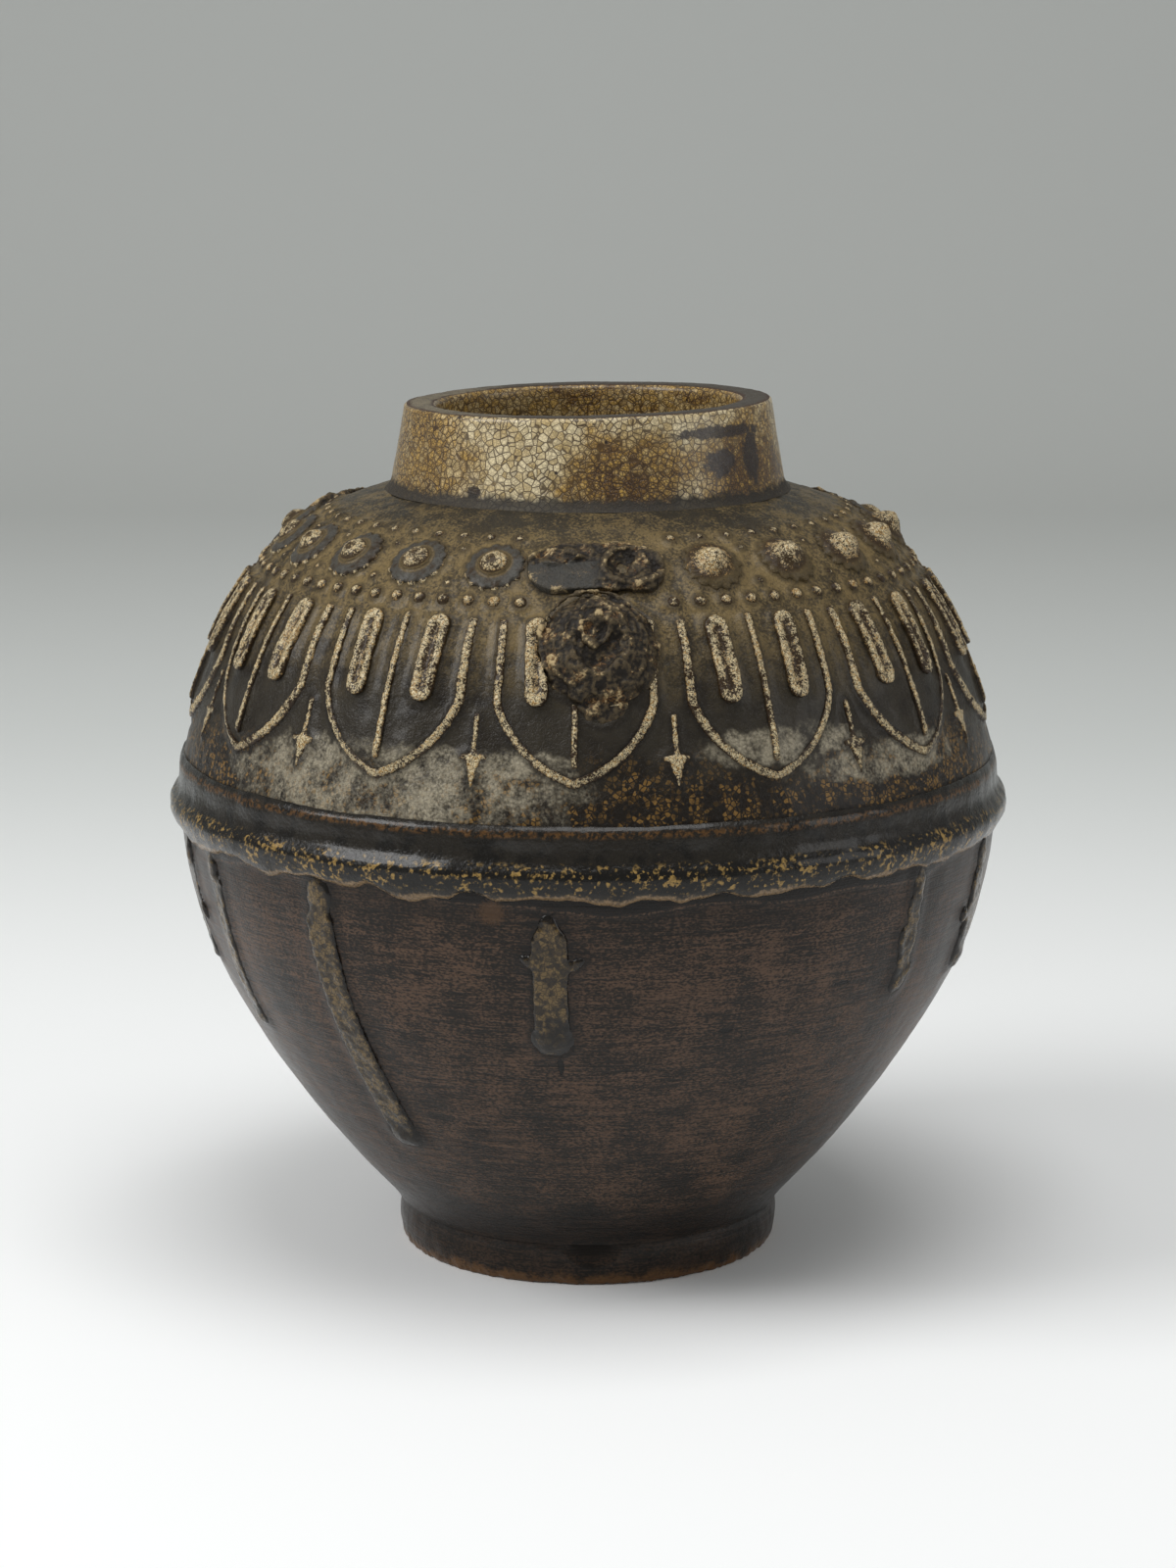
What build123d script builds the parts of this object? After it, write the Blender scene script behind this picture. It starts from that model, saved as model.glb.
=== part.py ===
from build123d import *
import math
import os

# Martaban jar: a thrown and luted stoneware storage jar with trailed and sprigged relief.
# Lengths are in millimetres and angles in degrees. The jar stands on its foot at height zero
# with its axis on Z, and its front faces -Y. An angle of a piece is counted from the front,
# towards +X.

# Thrown body
jar_height = 254.0
body_radius = 121.5
wall = 8.5
seam_height = 138.0
root_radius = 56.5

# Foot ring
foot_height = 13.5
foot_radius = 57.3
foot_heel_radius = 56.0
foot_wall = 11.0
foot_bulge_share = 0.55
base_drop = 4.5

# Shoulder and neck
neck_height = 26.0
neck_root_radius = 60.0
neck_wall_radius = 58.3
neck_fillet_height = 2.6
lip_radius = 54.3
lip_edge = 1.6
mouth_radius = 44.5
throat_step = 1.5

# Girdle, the coil that covers the seam of the two halves
girdle_rise = 3.4
girdle_height = 19.0
girdle_drop = 6.5
girdle_lip = 1.3

# Outer wall: below the seam a belly arc and a long flank arc, above it a cheek arc, a straight
# slope and a shoulder arc. Places are shares of each half's swell and rise from the seam.
belly_swell_share = 0.232
belly_rise_share = 0.466
cheek_swell_share = 0.063
cheek_rise_share = 0.244
slope_rise_share = 0.54

# Broken strap handles: angle of each pair of roots
lug_angles = (1.5, 122.8, 243.0)
lug_scar_share = 0.745
lug_scar_width = 17.0
lug_scar_length = 38.0
lug_scar_rise = 2.6
lug_pit_width = 13.0
lug_pit_depth = 1.6
lug_pit_share = 0.24
lug_stub_share = 0.52
lug_stub_width = 32.0
lug_stub_rise = 9.0
lug_break_rise = 7.0
lug_crater_width = 15.0
lug_crater_depth = 2.4

# Studs, each a scalloped disc with a button. A margin is the length on the wall from the middle
# of a lug to the first piece of a row, and the shift moves the studs along their row.
boss_count = 6
boss_margin = 30.4
boss_shift = 2.3
boss_share = 0.745
boss_width = 18.0
boss_rise = 2.4
boss_scallops = 14
boss_scallop_radius = 1.3
boss_skirt = 4.0
button_width = 8.6
button_rise = 2.2

# Rows of beads: number in each bay, margin to the lugs, place on the shoulder and size
neck_bead_count = 15
neck_bead_margin = 21.0
neck_bead_share = 0.85
neck_bead_width = 3.6
neck_bead_rise = 1.3
petal_bead_count = 22
petal_bead_margin = 21.0
petal_bead_share = 0.642
petal_bead_width = 4.2
petal_bead_rise = 1.9
boss_bead_shares = (0.69, 0.8)
boss_bead_width = 2.8
boss_bead_rise = 1.1

# Petals: trailed outline, midrib and two tongues. Widths are shares of the pitch of the
# petals at their middle, heights are shares of the shoulder's wall, from the seam.
petal_count = 13
petal_angle = -1.8
petal_share = 0.41
petal_top_share = 0.605
petal_side_share = 0.4
petal_tip_share = 0.195
petal_top_width_share = 0.8
petal_side_width_share = 0.86
petal_bow_share = 0.74
petal_line_width = 2.6
petal_line_rise = 1.5
midrib_end_share = 0.24
midrib_width = 2.0
tongue_end_share = 0.385
tongue_spread_share = 0.4
tongue_width = 6.6
tongue_rise = 2.2
tongue_groove_width = 2.4
tongue_groove_share = 0.78
tongue_groove_depth = 0.7

# Darts between the petals: a stem, a pointed head and a cross bar
dart_share = 0.28
dart_top_share = 0.37
dart_bar_share = 0.265
dart_tip_share = 0.185
dart_stem_width = 1.8
dart_head_width = 5.0
dart_bar_width = 8.0
dart_bar_height = 1.8
dart_rise = 1.2

# Runs of glaze on the lower half: angle, lean, end as a share of the lower wall from the
# seam, and width as a share of the widest run
run_shares = (
    (-37.3, 3.0, 0.66, 0.95),
    (-5.0, 0.0, 0.35, 1.0),
    (-61.8, -2.0, 0.42, 0.6),
    (-72.5, -2.0, 0.3, 0.5),
    (50.0, 0.0, 0.3, 0.62),
    (70.0, 1.0, 0.3, 0.85),
    (102.0, 2.0, 0.43, 0.8),
    (142.3, -2.5, 0.53, 0.7),
    (175.5, 1.0, 0.33, 0.9),
    (206.0, 2.0, 0.5, 0.75),
    (243.8, -2.0, 0.38, 0.85),
    (262.0, 0.0, 0.27, 0.55),
)
run_top_share = 0.1
run_width = 10.0
run_rise = 1.5
run_drop_width = 13.0
run_drop_rise = 2.6

# Chips knocked out of the foot: angle, centre height and ball radius as shares of the foot's
# height, and depth of the bite as a share of its wall
foot_chip_shares = (
    (1.5, 1.15, 1.48, 0.29),
    (-10.5, -0.28, 0.7, 0.29),
    (39.0, -0.19, 0.41, 0.18),
)

# How far the cutting shapes of the relief reach through the wall, each way
relief_reach = 14.0

# The meridians are drawn over +X, and this turn brings them to the front
front_turn = -90.0
sector_turn = 44.0
full_turn = 360.0


def outward(curve, share):
    """Direction out of the wall at a share of a meridian that starts at the seam."""
    tangent = curve % share
    normal = Vector(tangent.Z, 0, -tangent.X)
    return normal if normal.X > 0 else -normal


def lower_meridian():
    """Outer wall of the lower half, from the seam down to the foot."""
    swell = body_radius - root_radius
    rise = seam_height - foot_height
    hip = (body_radius - swell * belly_swell_share, 0, seam_height - rise * belly_rise_share)
    belly = TangentArc((body_radius, 0, seam_height), hip, tangent=(0, 0, -1))
    flank = TangentArc(hip, (root_radius, 0, foot_height), tangent=belly % 1)
    return Wire([belly, flank])


def upper_meridian():
    """Outer wall of the upper half, from the seam up to the neck's root."""
    swell = body_radius - neck_root_radius
    rise = jar_height - neck_height - seam_height
    cheek_top = (body_radius - swell * cheek_swell_share, 0, seam_height + rise * cheek_rise_share)
    cheek = TangentArc((body_radius, 0, seam_height), cheek_top, tangent=(0, 0, 1))
    along = cheek % 1
    climb = rise * (slope_rise_share - cheek_rise_share) / along.Z
    slope = Line(cheek @ 1, cheek @ 1 + along * climb)
    top = (neck_root_radius, 0, jar_height - neck_height)
    crown = TangentArc(slope @ 1, top, tangent=along)
    return Wire([cheek, slope, crown])


def offset_meridian(curve, offset):
    """Edges of a meridian moved out of the wall by an offset."""
    edges = []
    for edge in curve.edges().sort_by(curve):
        ends = [edge @ share + outward(edge, share) * offset for share in (0, 0.5, 1)]
        straight = edge.geom_type == GeomType.LINE
        edges.append(Line(ends[0], ends[2]) if straight else ThreePointArc(*ends))
    return edges


def turned(*edges, turn=full_turn):
    """Solid of revolution of a closed outline in the meridian plane."""
    return revolve(Face(Wire(list(edges))), Axis.Z, turn)


def chain(*points):
    """Straight edges through points given as radius and height."""
    return Polyline(*[(radius, 0, height) for radius, height in points]).edges()


def radius_height(point):
    """Radius and height of a point in the meridian plane."""
    return (point.X, point.Z)


def wall_layer(curve, start, end, turn=full_turn):
    """Layer of clay between two offsets from a meridian."""
    first = offset_meridian(curve, start)
    second = offset_meridian(curve, end)
    low = Line(curve @ 0 + outward(curve, 0) * start, curve @ 0 + outward(curve, 0) * end)
    high = Line(curve @ 1 + outward(curve, 1) * start, curve @ 1 + outward(curve, 1) * end)
    return turned(*first, *second, low, high, turn=turn)


lower_wall = lower_meridian()
upper_wall = upper_meridian()


def make_core():
    """Everything inside the outer wall, which trims each piece laid on that wall.

    Its seam line is turned away from the side that the pieces are made on.
    """
    top = radius_height(upper_wall @ 1)
    bottom = radius_height(lower_wall @ 1)
    closing = chain(top, (0, top[1]), (0, bottom[1]), bottom)
    solid = turned(*lower_wall.edges(), *upper_wall.edges(), *closing)
    return solid.rotate(Axis.Z, full_turn / 2)


core = make_core()


def make_lower_body():
    """Thrown bowl: floor, swelling wall and the flat edge of the seam."""
    inside = offset_meridian(lower_wall, -wall)
    foot_inner_radius = foot_heel_radius - foot_wall
    floor_edge = radius_height(inside[-1] @ 1)
    bottom = chain(
        floor_edge,
        (0, floor_edge[1]),
        (0, foot_height - base_drop),
        (foot_inner_radius, foot_height - base_drop),
        (foot_inner_radius, foot_height),
        radius_height(lower_wall @ 1),
    )
    rim = chain(radius_height(lower_wall @ 0), radius_height(inside[0] @ 0))
    return turned(*lower_wall.edges(), *rim, *inside, *bottom)


def make_shoulder():
    """Thrown upper half, from the seam to the flat ring that carries the neck."""
    inside = offset_meridian(upper_wall, -wall)
    throat_radius = mouth_radius + throat_step
    top_height = (upper_wall @ 1).Z
    under = radius_height(inside[-1] @ 1)
    rim = chain(radius_height(upper_wall @ 0), radius_height(inside[0] @ 0))
    throat = chain(
        radius_height(upper_wall @ 1),
        (throat_radius, top_height),
        (throat_radius, under[1]),
        under,
    )
    return turned(*upper_wall.edges(), *rim, *inside, *throat)


def make_neck_collar():
    """Thick collar with a tapered outside, a straight throat and a flat lip with soft edges."""
    root = jar_height - neck_height
    outline = Polyline(
        (mouth_radius, 0, root),
        (neck_root_radius, 0, root),
        (neck_wall_radius, 0, root + neck_fillet_height),
        (lip_radius, 0, jar_height),
        (mouth_radius, 0, jar_height),
        close=True,
    )
    collar = revolve(Face(Wire(outline.edges())), Axis.Z, full_turn)
    lip = collar.edges().filter_by(GeomType.CIRCLE).group_by(Axis.Z)[-1]
    return fillet(lip.sort_by(SortBy.RADIUS)[-1], lip_edge)


def make_foot_ring():
    """Foot ring with a softly bulging outside and three chips out of its edge."""
    foot_inner_radius = foot_heel_radius - foot_wall
    outside = ThreePointArc(
        (foot_heel_radius, 0, 0),
        (foot_radius, 0, foot_height * foot_bulge_share),
        (root_radius, 0, foot_height),
    )
    rest = chain(
        (root_radius, foot_height),
        (foot_inner_radius, foot_height),
        (foot_inner_radius, 0),
        (foot_heel_radius, 0),
    )
    ring = turned(outside, *rest)
    for angle, height_share, ball_share, bite_share in foot_chip_shares:
        ball = foot_height * ball_share
        centre = Vector(foot_radius + ball - foot_wall * bite_share, 0, foot_height * height_share)
        ring -= Pos(*centre.rotate(Axis.Z, angle + front_turn)) * Sphere(ball)
    return ring


def make_girdle_band():
    """Coil over the seam: a cove above, a round swell and a rolled lower edge."""
    bottom_height = seam_height - girdle_drop
    top_height = bottom_height + girdle_height
    swell_radius = body_radius + girdle_rise
    swell_height = (bottom_height + seam_height) / 2
    inner_radius = body_radius - wall / 2
    swell = ThreePointArc(
        (body_radius + girdle_lip, 0, bottom_height),
        (swell_radius, 0, swell_height),
        (swell_radius - girdle_lip / 2, 0, seam_height + girdle_lip),
    )
    cove = Line(swell @ 1, (body_radius, 0, top_height))
    back = chain(
        (body_radius, top_height),
        (inner_radius, top_height),
        (inner_radius, bottom_height),
        (body_radius + girdle_lip, bottom_height),
    )
    return turned(swell, cove, *back) - core


def cap_radius(width, rise):
    """Radius of the ball that stands up by its rise over a given width."""
    return (width**2 / 4 + rise**2) / (2 * rise)


def ground(curve, share, lift=0.0):
    """Plane on the wall at a share of a meridian: across, up the wall and outward."""
    out = outward(curve, share)
    return Plane(curve @ share + out * lift, x_dir=(0, 1, 0), z_dir=out)


def knob(curve, share, width, rise):
    """Ball sunk in the wall until its rise and its width at the wall are right."""
    radius = cap_radius(width, rise)
    return ground(curve, share, rise - radius) * Sphere(radius)


def height_on(plane, curve, share):
    """Height of a share of the meridian in a ground plane's own frame."""
    return (curve @ share - plane.origin).dot(plane.y_dir)


def upright_bar(plane, curve, shares, width):
    """Bar with round ends between two shares of the meridian, in a ground plane's frame."""
    low, high = sorted(height_on(plane, curve, share) for share in shares)
    bar = Rectangle(width, high - low - width)
    for end in (-1, 1):
        bar += Pos(0, end * (high - low - width) / 2) * Circle(width / 2)
    return Pos(0, (low + high) / 2) * bar


def relief(plane, sketch, layer):
    """A drawing raised from the wall to the height of a layer."""
    reach = extrude(plane * sketch, relief_reach, both=True)
    return (reach & layer).solids()


def sector(curve, rise):
    """Layer on the wall round the working side, for pieces drawn in a ground plane."""
    return wall_layer(curve, 0, rise, sector_turn).rotate(Axis.Z, -sector_turn / 2)


def at_front(solids):
    """Solids turned from the working side to the jar's front."""
    return [solid.rotate(Axis.Z, front_turn) for solid in solids]


def around(solids, angles):
    """Copies of solids made at the front, turned about the jar's axis."""
    return [solid.rotate(Axis.Z, angle) for angle in angles for solid in solids]


def bay_angles(count, share, margin, shift=0.0):
    """Even angles between each lug and the next, kept a margin on the wall away from both."""
    radius = (upper_wall @ share).X
    edge = math.degrees(margin / radius)
    slide = math.degrees(shift / radius)
    angles = []
    ends = lug_angles[1:] + (lug_angles[0] + full_turn,)
    for start, end in zip(lug_angles, ends):
        step = (end - start - 2 * edge) / (count - 1)
        angles += [start + edge + slide + step * i for i in range(count)]
    return angles


def make_bead(share, width, rise):
    """One bead at the front."""
    return at_front((knob(upper_wall, share, width, rise) - core).solids())


def make_boss():
    """Scalloped low disc and the button on it, at the front."""
    place = upper_wall @ boss_share
    out = outward(upper_wall, boss_share)
    rim = boss_width / 2 - boss_scallop_radius
    outline = Circle(rim)
    for scallop in PolarLocations(rim, boss_scallops):
        outline += scallop * Circle(boss_scallop_radius)
    slab = extrude(ground(upper_wall, boss_share) * outline, boss_rise * 2, both=True)
    dome_radius = cap_radius(boss_width + boss_skirt, boss_rise)
    dome = Pos(*(place - out * (dome_radius - boss_rise))) * Sphere(dome_radius)
    disc = (slab & dome) - core
    button_radius = cap_radius(button_width, button_rise)
    crown = place + out * (boss_rise - button_radius + button_rise)
    button = Pos(*crown) * Sphere(button_radius) - dome
    return at_front(disc.solids() + button.solids())


def petal_pitch():
    """Width of one petal's bay on the wall at the petals' middle."""
    return 2 * math.pi * (upper_wall @ petal_share).X / petal_count


def petal_outline(plane, inset):
    """Pointed outline of a petal, drawn narrower by an inset."""
    pitch = petal_pitch()
    top = height_on(plane, upper_wall, petal_top_share)
    side = height_on(plane, upper_wall, petal_side_share)
    tip = height_on(plane, upper_wall, petal_tip_share) + inset
    top_half = petal_top_width_share * pitch / 2 - inset
    side_half = petal_side_width_share * pitch / 2 - inset
    bow = side_half * petal_bow_share
    middle = (side + tip) / 2
    lines = Polyline((side_half, side), (top_half, top), (-top_half, top), (-side_half, side)).edges()
    right_point = ThreePointArc((side_half, side), (bow, middle), (0, tip))
    left_point = ThreePointArc((-side_half, side), (-bow, middle), (0, tip))
    return make_face([*lines, right_point, left_point])


def make_petal():
    """One lotus petal on the working side: outline, midrib and two grooved tongues."""
    plane = ground(upper_wall, petal_share)
    line = petal_outline(plane, 0) - petal_outline(plane, petal_line_width)
    line += upright_bar(plane, upper_wall, (petal_top_share, midrib_end_share), midrib_width)
    tongues = None
    groove_half = (1 - tongue_groove_share) * (tongue_end_share - petal_top_share) / 2
    groove_shares = (petal_top_share + groove_half, tongue_end_share - groove_half)
    grooves = None
    for side in (-1, 1):
        place = Pos(side * tongue_spread_share * petal_pitch() / 2, 0)
        shares = (petal_top_share, tongue_end_share)
        tongue = place * upright_bar(plane, upper_wall, shares, tongue_width)
        groove = place * upright_bar(plane, upper_wall, groove_shares, tongue_groove_width)
        tongues = tongue if tongues is None else tongues + tongue
        grooves = groove if grooves is None else grooves + groove
    raised = relief(plane, tongues, sector(upper_wall, tongue_rise))
    floor = sector(upper_wall, tongue_rise - tongue_groove_depth)
    sunk = extrude(plane * grooves, relief_reach, both=True) - floor
    pieces = relief(plane, line, sector(upper_wall, petal_line_rise))
    return pieces + [solid for piece in raised for solid in (piece - sunk).solids()]


def make_dart():
    """Small dart at the front: stem, pointed head and cross bar in one piece."""
    plane = ground(upper_wall, dart_share)
    top = height_on(plane, upper_wall, dart_top_share)
    bar = height_on(plane, upper_wall, dart_bar_share)
    tip = height_on(plane, upper_wall, dart_tip_share)
    head_half = dart_head_width / 2
    sketch = Pos(0, (top + bar) / 2) * Rectangle(dart_stem_width, top - bar)
    sketch += Pos(0, bar) * Rectangle(dart_bar_width, dart_bar_height)
    head = Polyline((-head_half, bar), (0, tip), (head_half, bar), close=True)
    sketch += make_face(head.edges())
    return at_front(relief(plane, sketch, sector(upper_wall, dart_rise)))


def lug_ball():
    """Ball that the lower root of a handle is cut from."""
    return knob(upper_wall, lug_stub_share, lug_stub_width, lug_stub_rise)


def make_lug_scar():
    """Upper root of a broken strap handle: a long pad with a pit, clear of the lower root."""
    plane = ground(upper_wall, lug_scar_share)
    straight = lug_scar_length - lug_scar_width
    pad = Rectangle(straight, lug_scar_width)
    for end in (-1, 1):
        pad += Pos(end * straight / 2, 0) * Circle(lug_scar_width / 2)
    ball = cap_radius(lug_pit_width, lug_pit_depth)
    depth = lug_scar_rise - lug_pit_depth + ball
    pit_plane = ground(upper_wall, lug_scar_share, depth)
    pit = Pos(*pit_plane.from_local_coords((lug_pit_share * lug_scar_length, 0, 0))) * Sphere(ball)
    solids = relief(plane, pad, sector(upper_wall, lug_scar_rise))
    return at_front([solid for piece in solids for solid in (piece - pit - lug_ball()).solids()])


def make_lug_stub():
    """Lower root of a broken strap handle: a dome broken off flat, with a crater."""
    dome = lug_ball() - core
    face = ground(upper_wall, lug_stub_share, lug_break_rise)
    beyond = extrude(face * Circle(lug_stub_width), lug_stub_rise)
    ball = cap_radius(lug_crater_width, lug_crater_depth)
    crater_plane = ground(upper_wall, lug_stub_share, lug_break_rise - lug_crater_depth + ball)
    crater = Pos(*crater_plane.origin) * Sphere(ball)
    return at_front((dome - beyond - crater).solids())


def make_run(angle, lean, end_share, width_share):
    """One run of glaze from under the girdle down to its thick drop, at its angle."""
    middle_share = (run_top_share + end_share) / 2
    plane = ground(lower_wall, middle_share)
    width = run_width * width_share
    bar = upright_bar(plane, lower_wall, (run_top_share, end_share), width)
    run = relief(plane, Rot(0, 0, lean) * bar, sector(lower_wall, run_rise * width_share))
    low = height_on(plane, lower_wall, end_share) + width / 2
    slide = math.degrees(low * math.sin(math.radians(lean)) / (lower_wall @ end_share).X)
    drop = knob(lower_wall, end_share, run_drop_width * width_share, run_drop_rise * width_share)
    drop = (drop.rotate(Axis.Z, -slide) - core).solids()
    joined = run[0] + drop[0]
    return around(at_front(joined.solids()), [angle])


def boss_angles():
    """Angles of the studs."""
    return bay_angles(boss_count, boss_share, boss_margin, boss_shift)


def boss_bead_angles():
    """Angles halfway between neighbouring studs of a bay."""
    angles = boss_angles()
    pairs = zip(angles, angles[1:])
    return [(a + b) / 2 for i, (a, b) in enumerate(pairs) if (i + 1) % boss_count]


def petal_angles():
    """Angles of the petals' midribs."""
    return [petal_angle + full_turn / petal_count * i for i in range(petal_count)]


def write(name, solids):
    """Writes one node's solids to its own file."""
    shape = solids[0] if len(solids) == 1 else Compound(children=list(solids))
    export_step(shape, f"parts/{name}.step")


def write_each(name, solids, angles):
    """Writes a numbered node for each angle."""
    for number, angle in enumerate(angles, 1):
        write(f"{name}_{number:02d}", around(solids, [angle]))


def write_clear(name, solids, angles):
    """Writes a numbered node for each angle, cut back where a handle's root stands on it."""
    ball = lug_ball().rotate(Axis.Z, front_turn)
    half_pitch = full_turn / petal_count / 2
    reach = half_pitch + math.degrees(lug_stub_width / 2 / (upper_wall @ petal_share).X)
    for number, angle in enumerate(angles, 1):
        placed = around(solids, [angle])
        for lug_angle in lug_angles:
            away = abs((angle - lug_angle + full_turn / 2) % full_turn - full_turn / 2)
            if away < reach:
                block = ball.rotate(Axis.Z, lug_angle)
                placed = [solid for piece in placed for solid in (piece - block).solids()]
        write(f"{name}_{number:02d}", placed)


def main():
    """Makes every node of the jar."""
    os.makedirs("parts", exist_ok=True)
    write("foot_ring", make_foot_ring().solids())
    write("lower_body", make_lower_body().solids())
    write("girdle_band", make_girdle_band().solids())
    write("shoulder", make_shoulder().solids())
    write("neck_collar", make_neck_collar().solids())
    neck_bead = make_bead(neck_bead_share, neck_bead_width, neck_bead_rise)
    neck_angles = bay_angles(neck_bead_count, neck_bead_share, neck_bead_margin)
    write("neck_beads", around(neck_bead, neck_angles))
    petal_bead = make_bead(petal_bead_share, petal_bead_width, petal_bead_rise)
    row_angles = bay_angles(petal_bead_count, petal_bead_share, petal_bead_margin)
    write("petal_beads", around(petal_bead, row_angles))
    boss_beads = []
    for share in boss_bead_shares:
        boss_beads += around(make_bead(share, boss_bead_width, boss_bead_rise), boss_bead_angles())
    write("boss_beads", boss_beads)
    write_each("boss", make_boss(), boss_angles())
    write_clear("petal", at_front(make_petal()), petal_angles())
    half_pitch = full_turn / petal_count / 2
    write_clear("dart", make_dart(), [angle + half_pitch for angle in petal_angles()])
    write_each("lug_scar", make_lug_scar(), lug_angles)
    write_each("lug_stub", make_lug_stub(), lug_angles)
    runs = [make_run(*place) for place in run_shares]
    write("glaze_runs", [solid for run in runs for solid in run])


main()
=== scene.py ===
"""Looks of a martaban jar: glazed stoneware with trailed and sprigged relief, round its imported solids."""

from __future__ import annotations

import logging
import math
from dataclasses import dataclass, field
from enum import Enum
from functools import reduce
from typing import Optional, Sequence, Union

import bpy
import numpy as np
from mathutils import Matrix, Vector
from mathutils.bvhtree import BVHTree

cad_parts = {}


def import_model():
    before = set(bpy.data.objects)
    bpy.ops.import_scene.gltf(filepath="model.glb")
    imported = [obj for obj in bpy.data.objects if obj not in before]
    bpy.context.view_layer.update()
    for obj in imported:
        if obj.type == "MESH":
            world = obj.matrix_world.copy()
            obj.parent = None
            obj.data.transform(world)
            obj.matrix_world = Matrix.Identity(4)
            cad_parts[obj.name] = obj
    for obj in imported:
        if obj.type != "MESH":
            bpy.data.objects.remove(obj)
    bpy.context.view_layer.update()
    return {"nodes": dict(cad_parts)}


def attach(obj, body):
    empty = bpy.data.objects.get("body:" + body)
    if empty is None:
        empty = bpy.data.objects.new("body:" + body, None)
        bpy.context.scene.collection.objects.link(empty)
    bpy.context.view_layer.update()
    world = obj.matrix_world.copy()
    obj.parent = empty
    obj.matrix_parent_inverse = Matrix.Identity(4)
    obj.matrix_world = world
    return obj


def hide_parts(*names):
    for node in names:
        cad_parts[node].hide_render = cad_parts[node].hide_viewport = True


LOG = logging.getLogger("martaban_jar")

MM = 0.001
TINY = 1e-6
SCREEN_WHITE = 255
MM_PER_METRE = 1000.0
TOUCHING = 0.08 * MM
INSIDE = -0.5 * MM
SPUN_DOUBLES = 0.01 * MM
SOLID_DOUBLES = 0.005 * MM
LEAST_WEIGHT = 0.002
PLACES_AT_ONCE = 20000
SHORT_ARC, BELLY_ARC, LONG_ARC = 60, 120, 160

Colour = tuple[float, float, float, float]
Point = tuple[float, float]
Size = tuple[float, float, float]
Spot = tuple[float, float, float, float]
Curve = tuple[tuple[float, ...], tuple[float, ...]]
Number = Union[float, "Value"]
Piece = bpy.types.Object
Material = bpy.types.Material
Node = bpy.types.Node
Socket = bpy.types.NodeSocket
Inputs = dict[object, object]


def tone(red: int, green: int, blue: int) -> Colour:
    """Gives the linear colour of a tone read on a screen.

    Args:
        red: Red from 0 to 255.
        green: Green from 0 to 255.
        blue: Blue from 0 to 255.

    Returns:
        The linear red, green and blue, with a full alpha.
    """
    parts = [part / SCREEN_WHITE for part in (red, green, blue)]
    linear = [p / 12.92 if p <= 0.04045 else ((p + 0.055) / 1.055) ** 2.4 for p in parts]
    return (linear[0], linear[1], linear[2], 1.0)


def angles(places: np.ndarray) -> np.ndarray:
    """Gives the angle of each place from the front, towards +X, in radians."""
    return np.arctan2(places[:, 0], -places[:, 1])


def eased(part: np.ndarray) -> np.ndarray:
    """Softens both ends of a ramp from 0 to 1."""
    return part * part * (3 - 2 * part)


# The wall's meridian

def tangent_arc(start: Point, lean: float, end: Point, count: int) -> list[Point]:
    """Draws an arc from a point with a known lean to another point.

    Args:
        start: Radius and height of the first point.
        lean: Angle of the first direction from straight up, towards the axis.
        end: Radius and height of the last point.
        count: Number of steps.

    Returns:
        Radius and height of each point, the first left out.
    """
    across, up = start[0] - end[0], end[1] - start[1]
    turn = 2 * (math.atan2(across, up) - lean)
    if abs(turn) < TINY:
        return [(start[0] - across * i / count, start[1] + up * i / count) for i in range(1, count + 1)]
    radius = math.hypot(across, up) / (2 * math.sin(turn / 2))
    points = []
    for i in range(1, count + 1):
        part = turn * i / count
        length = 2 * radius * math.sin(part / 2)
        direction = lean + part / 2
        points.append((start[0] - length * math.sin(direction), start[1] + length * math.cos(direction)))
    return points


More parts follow.
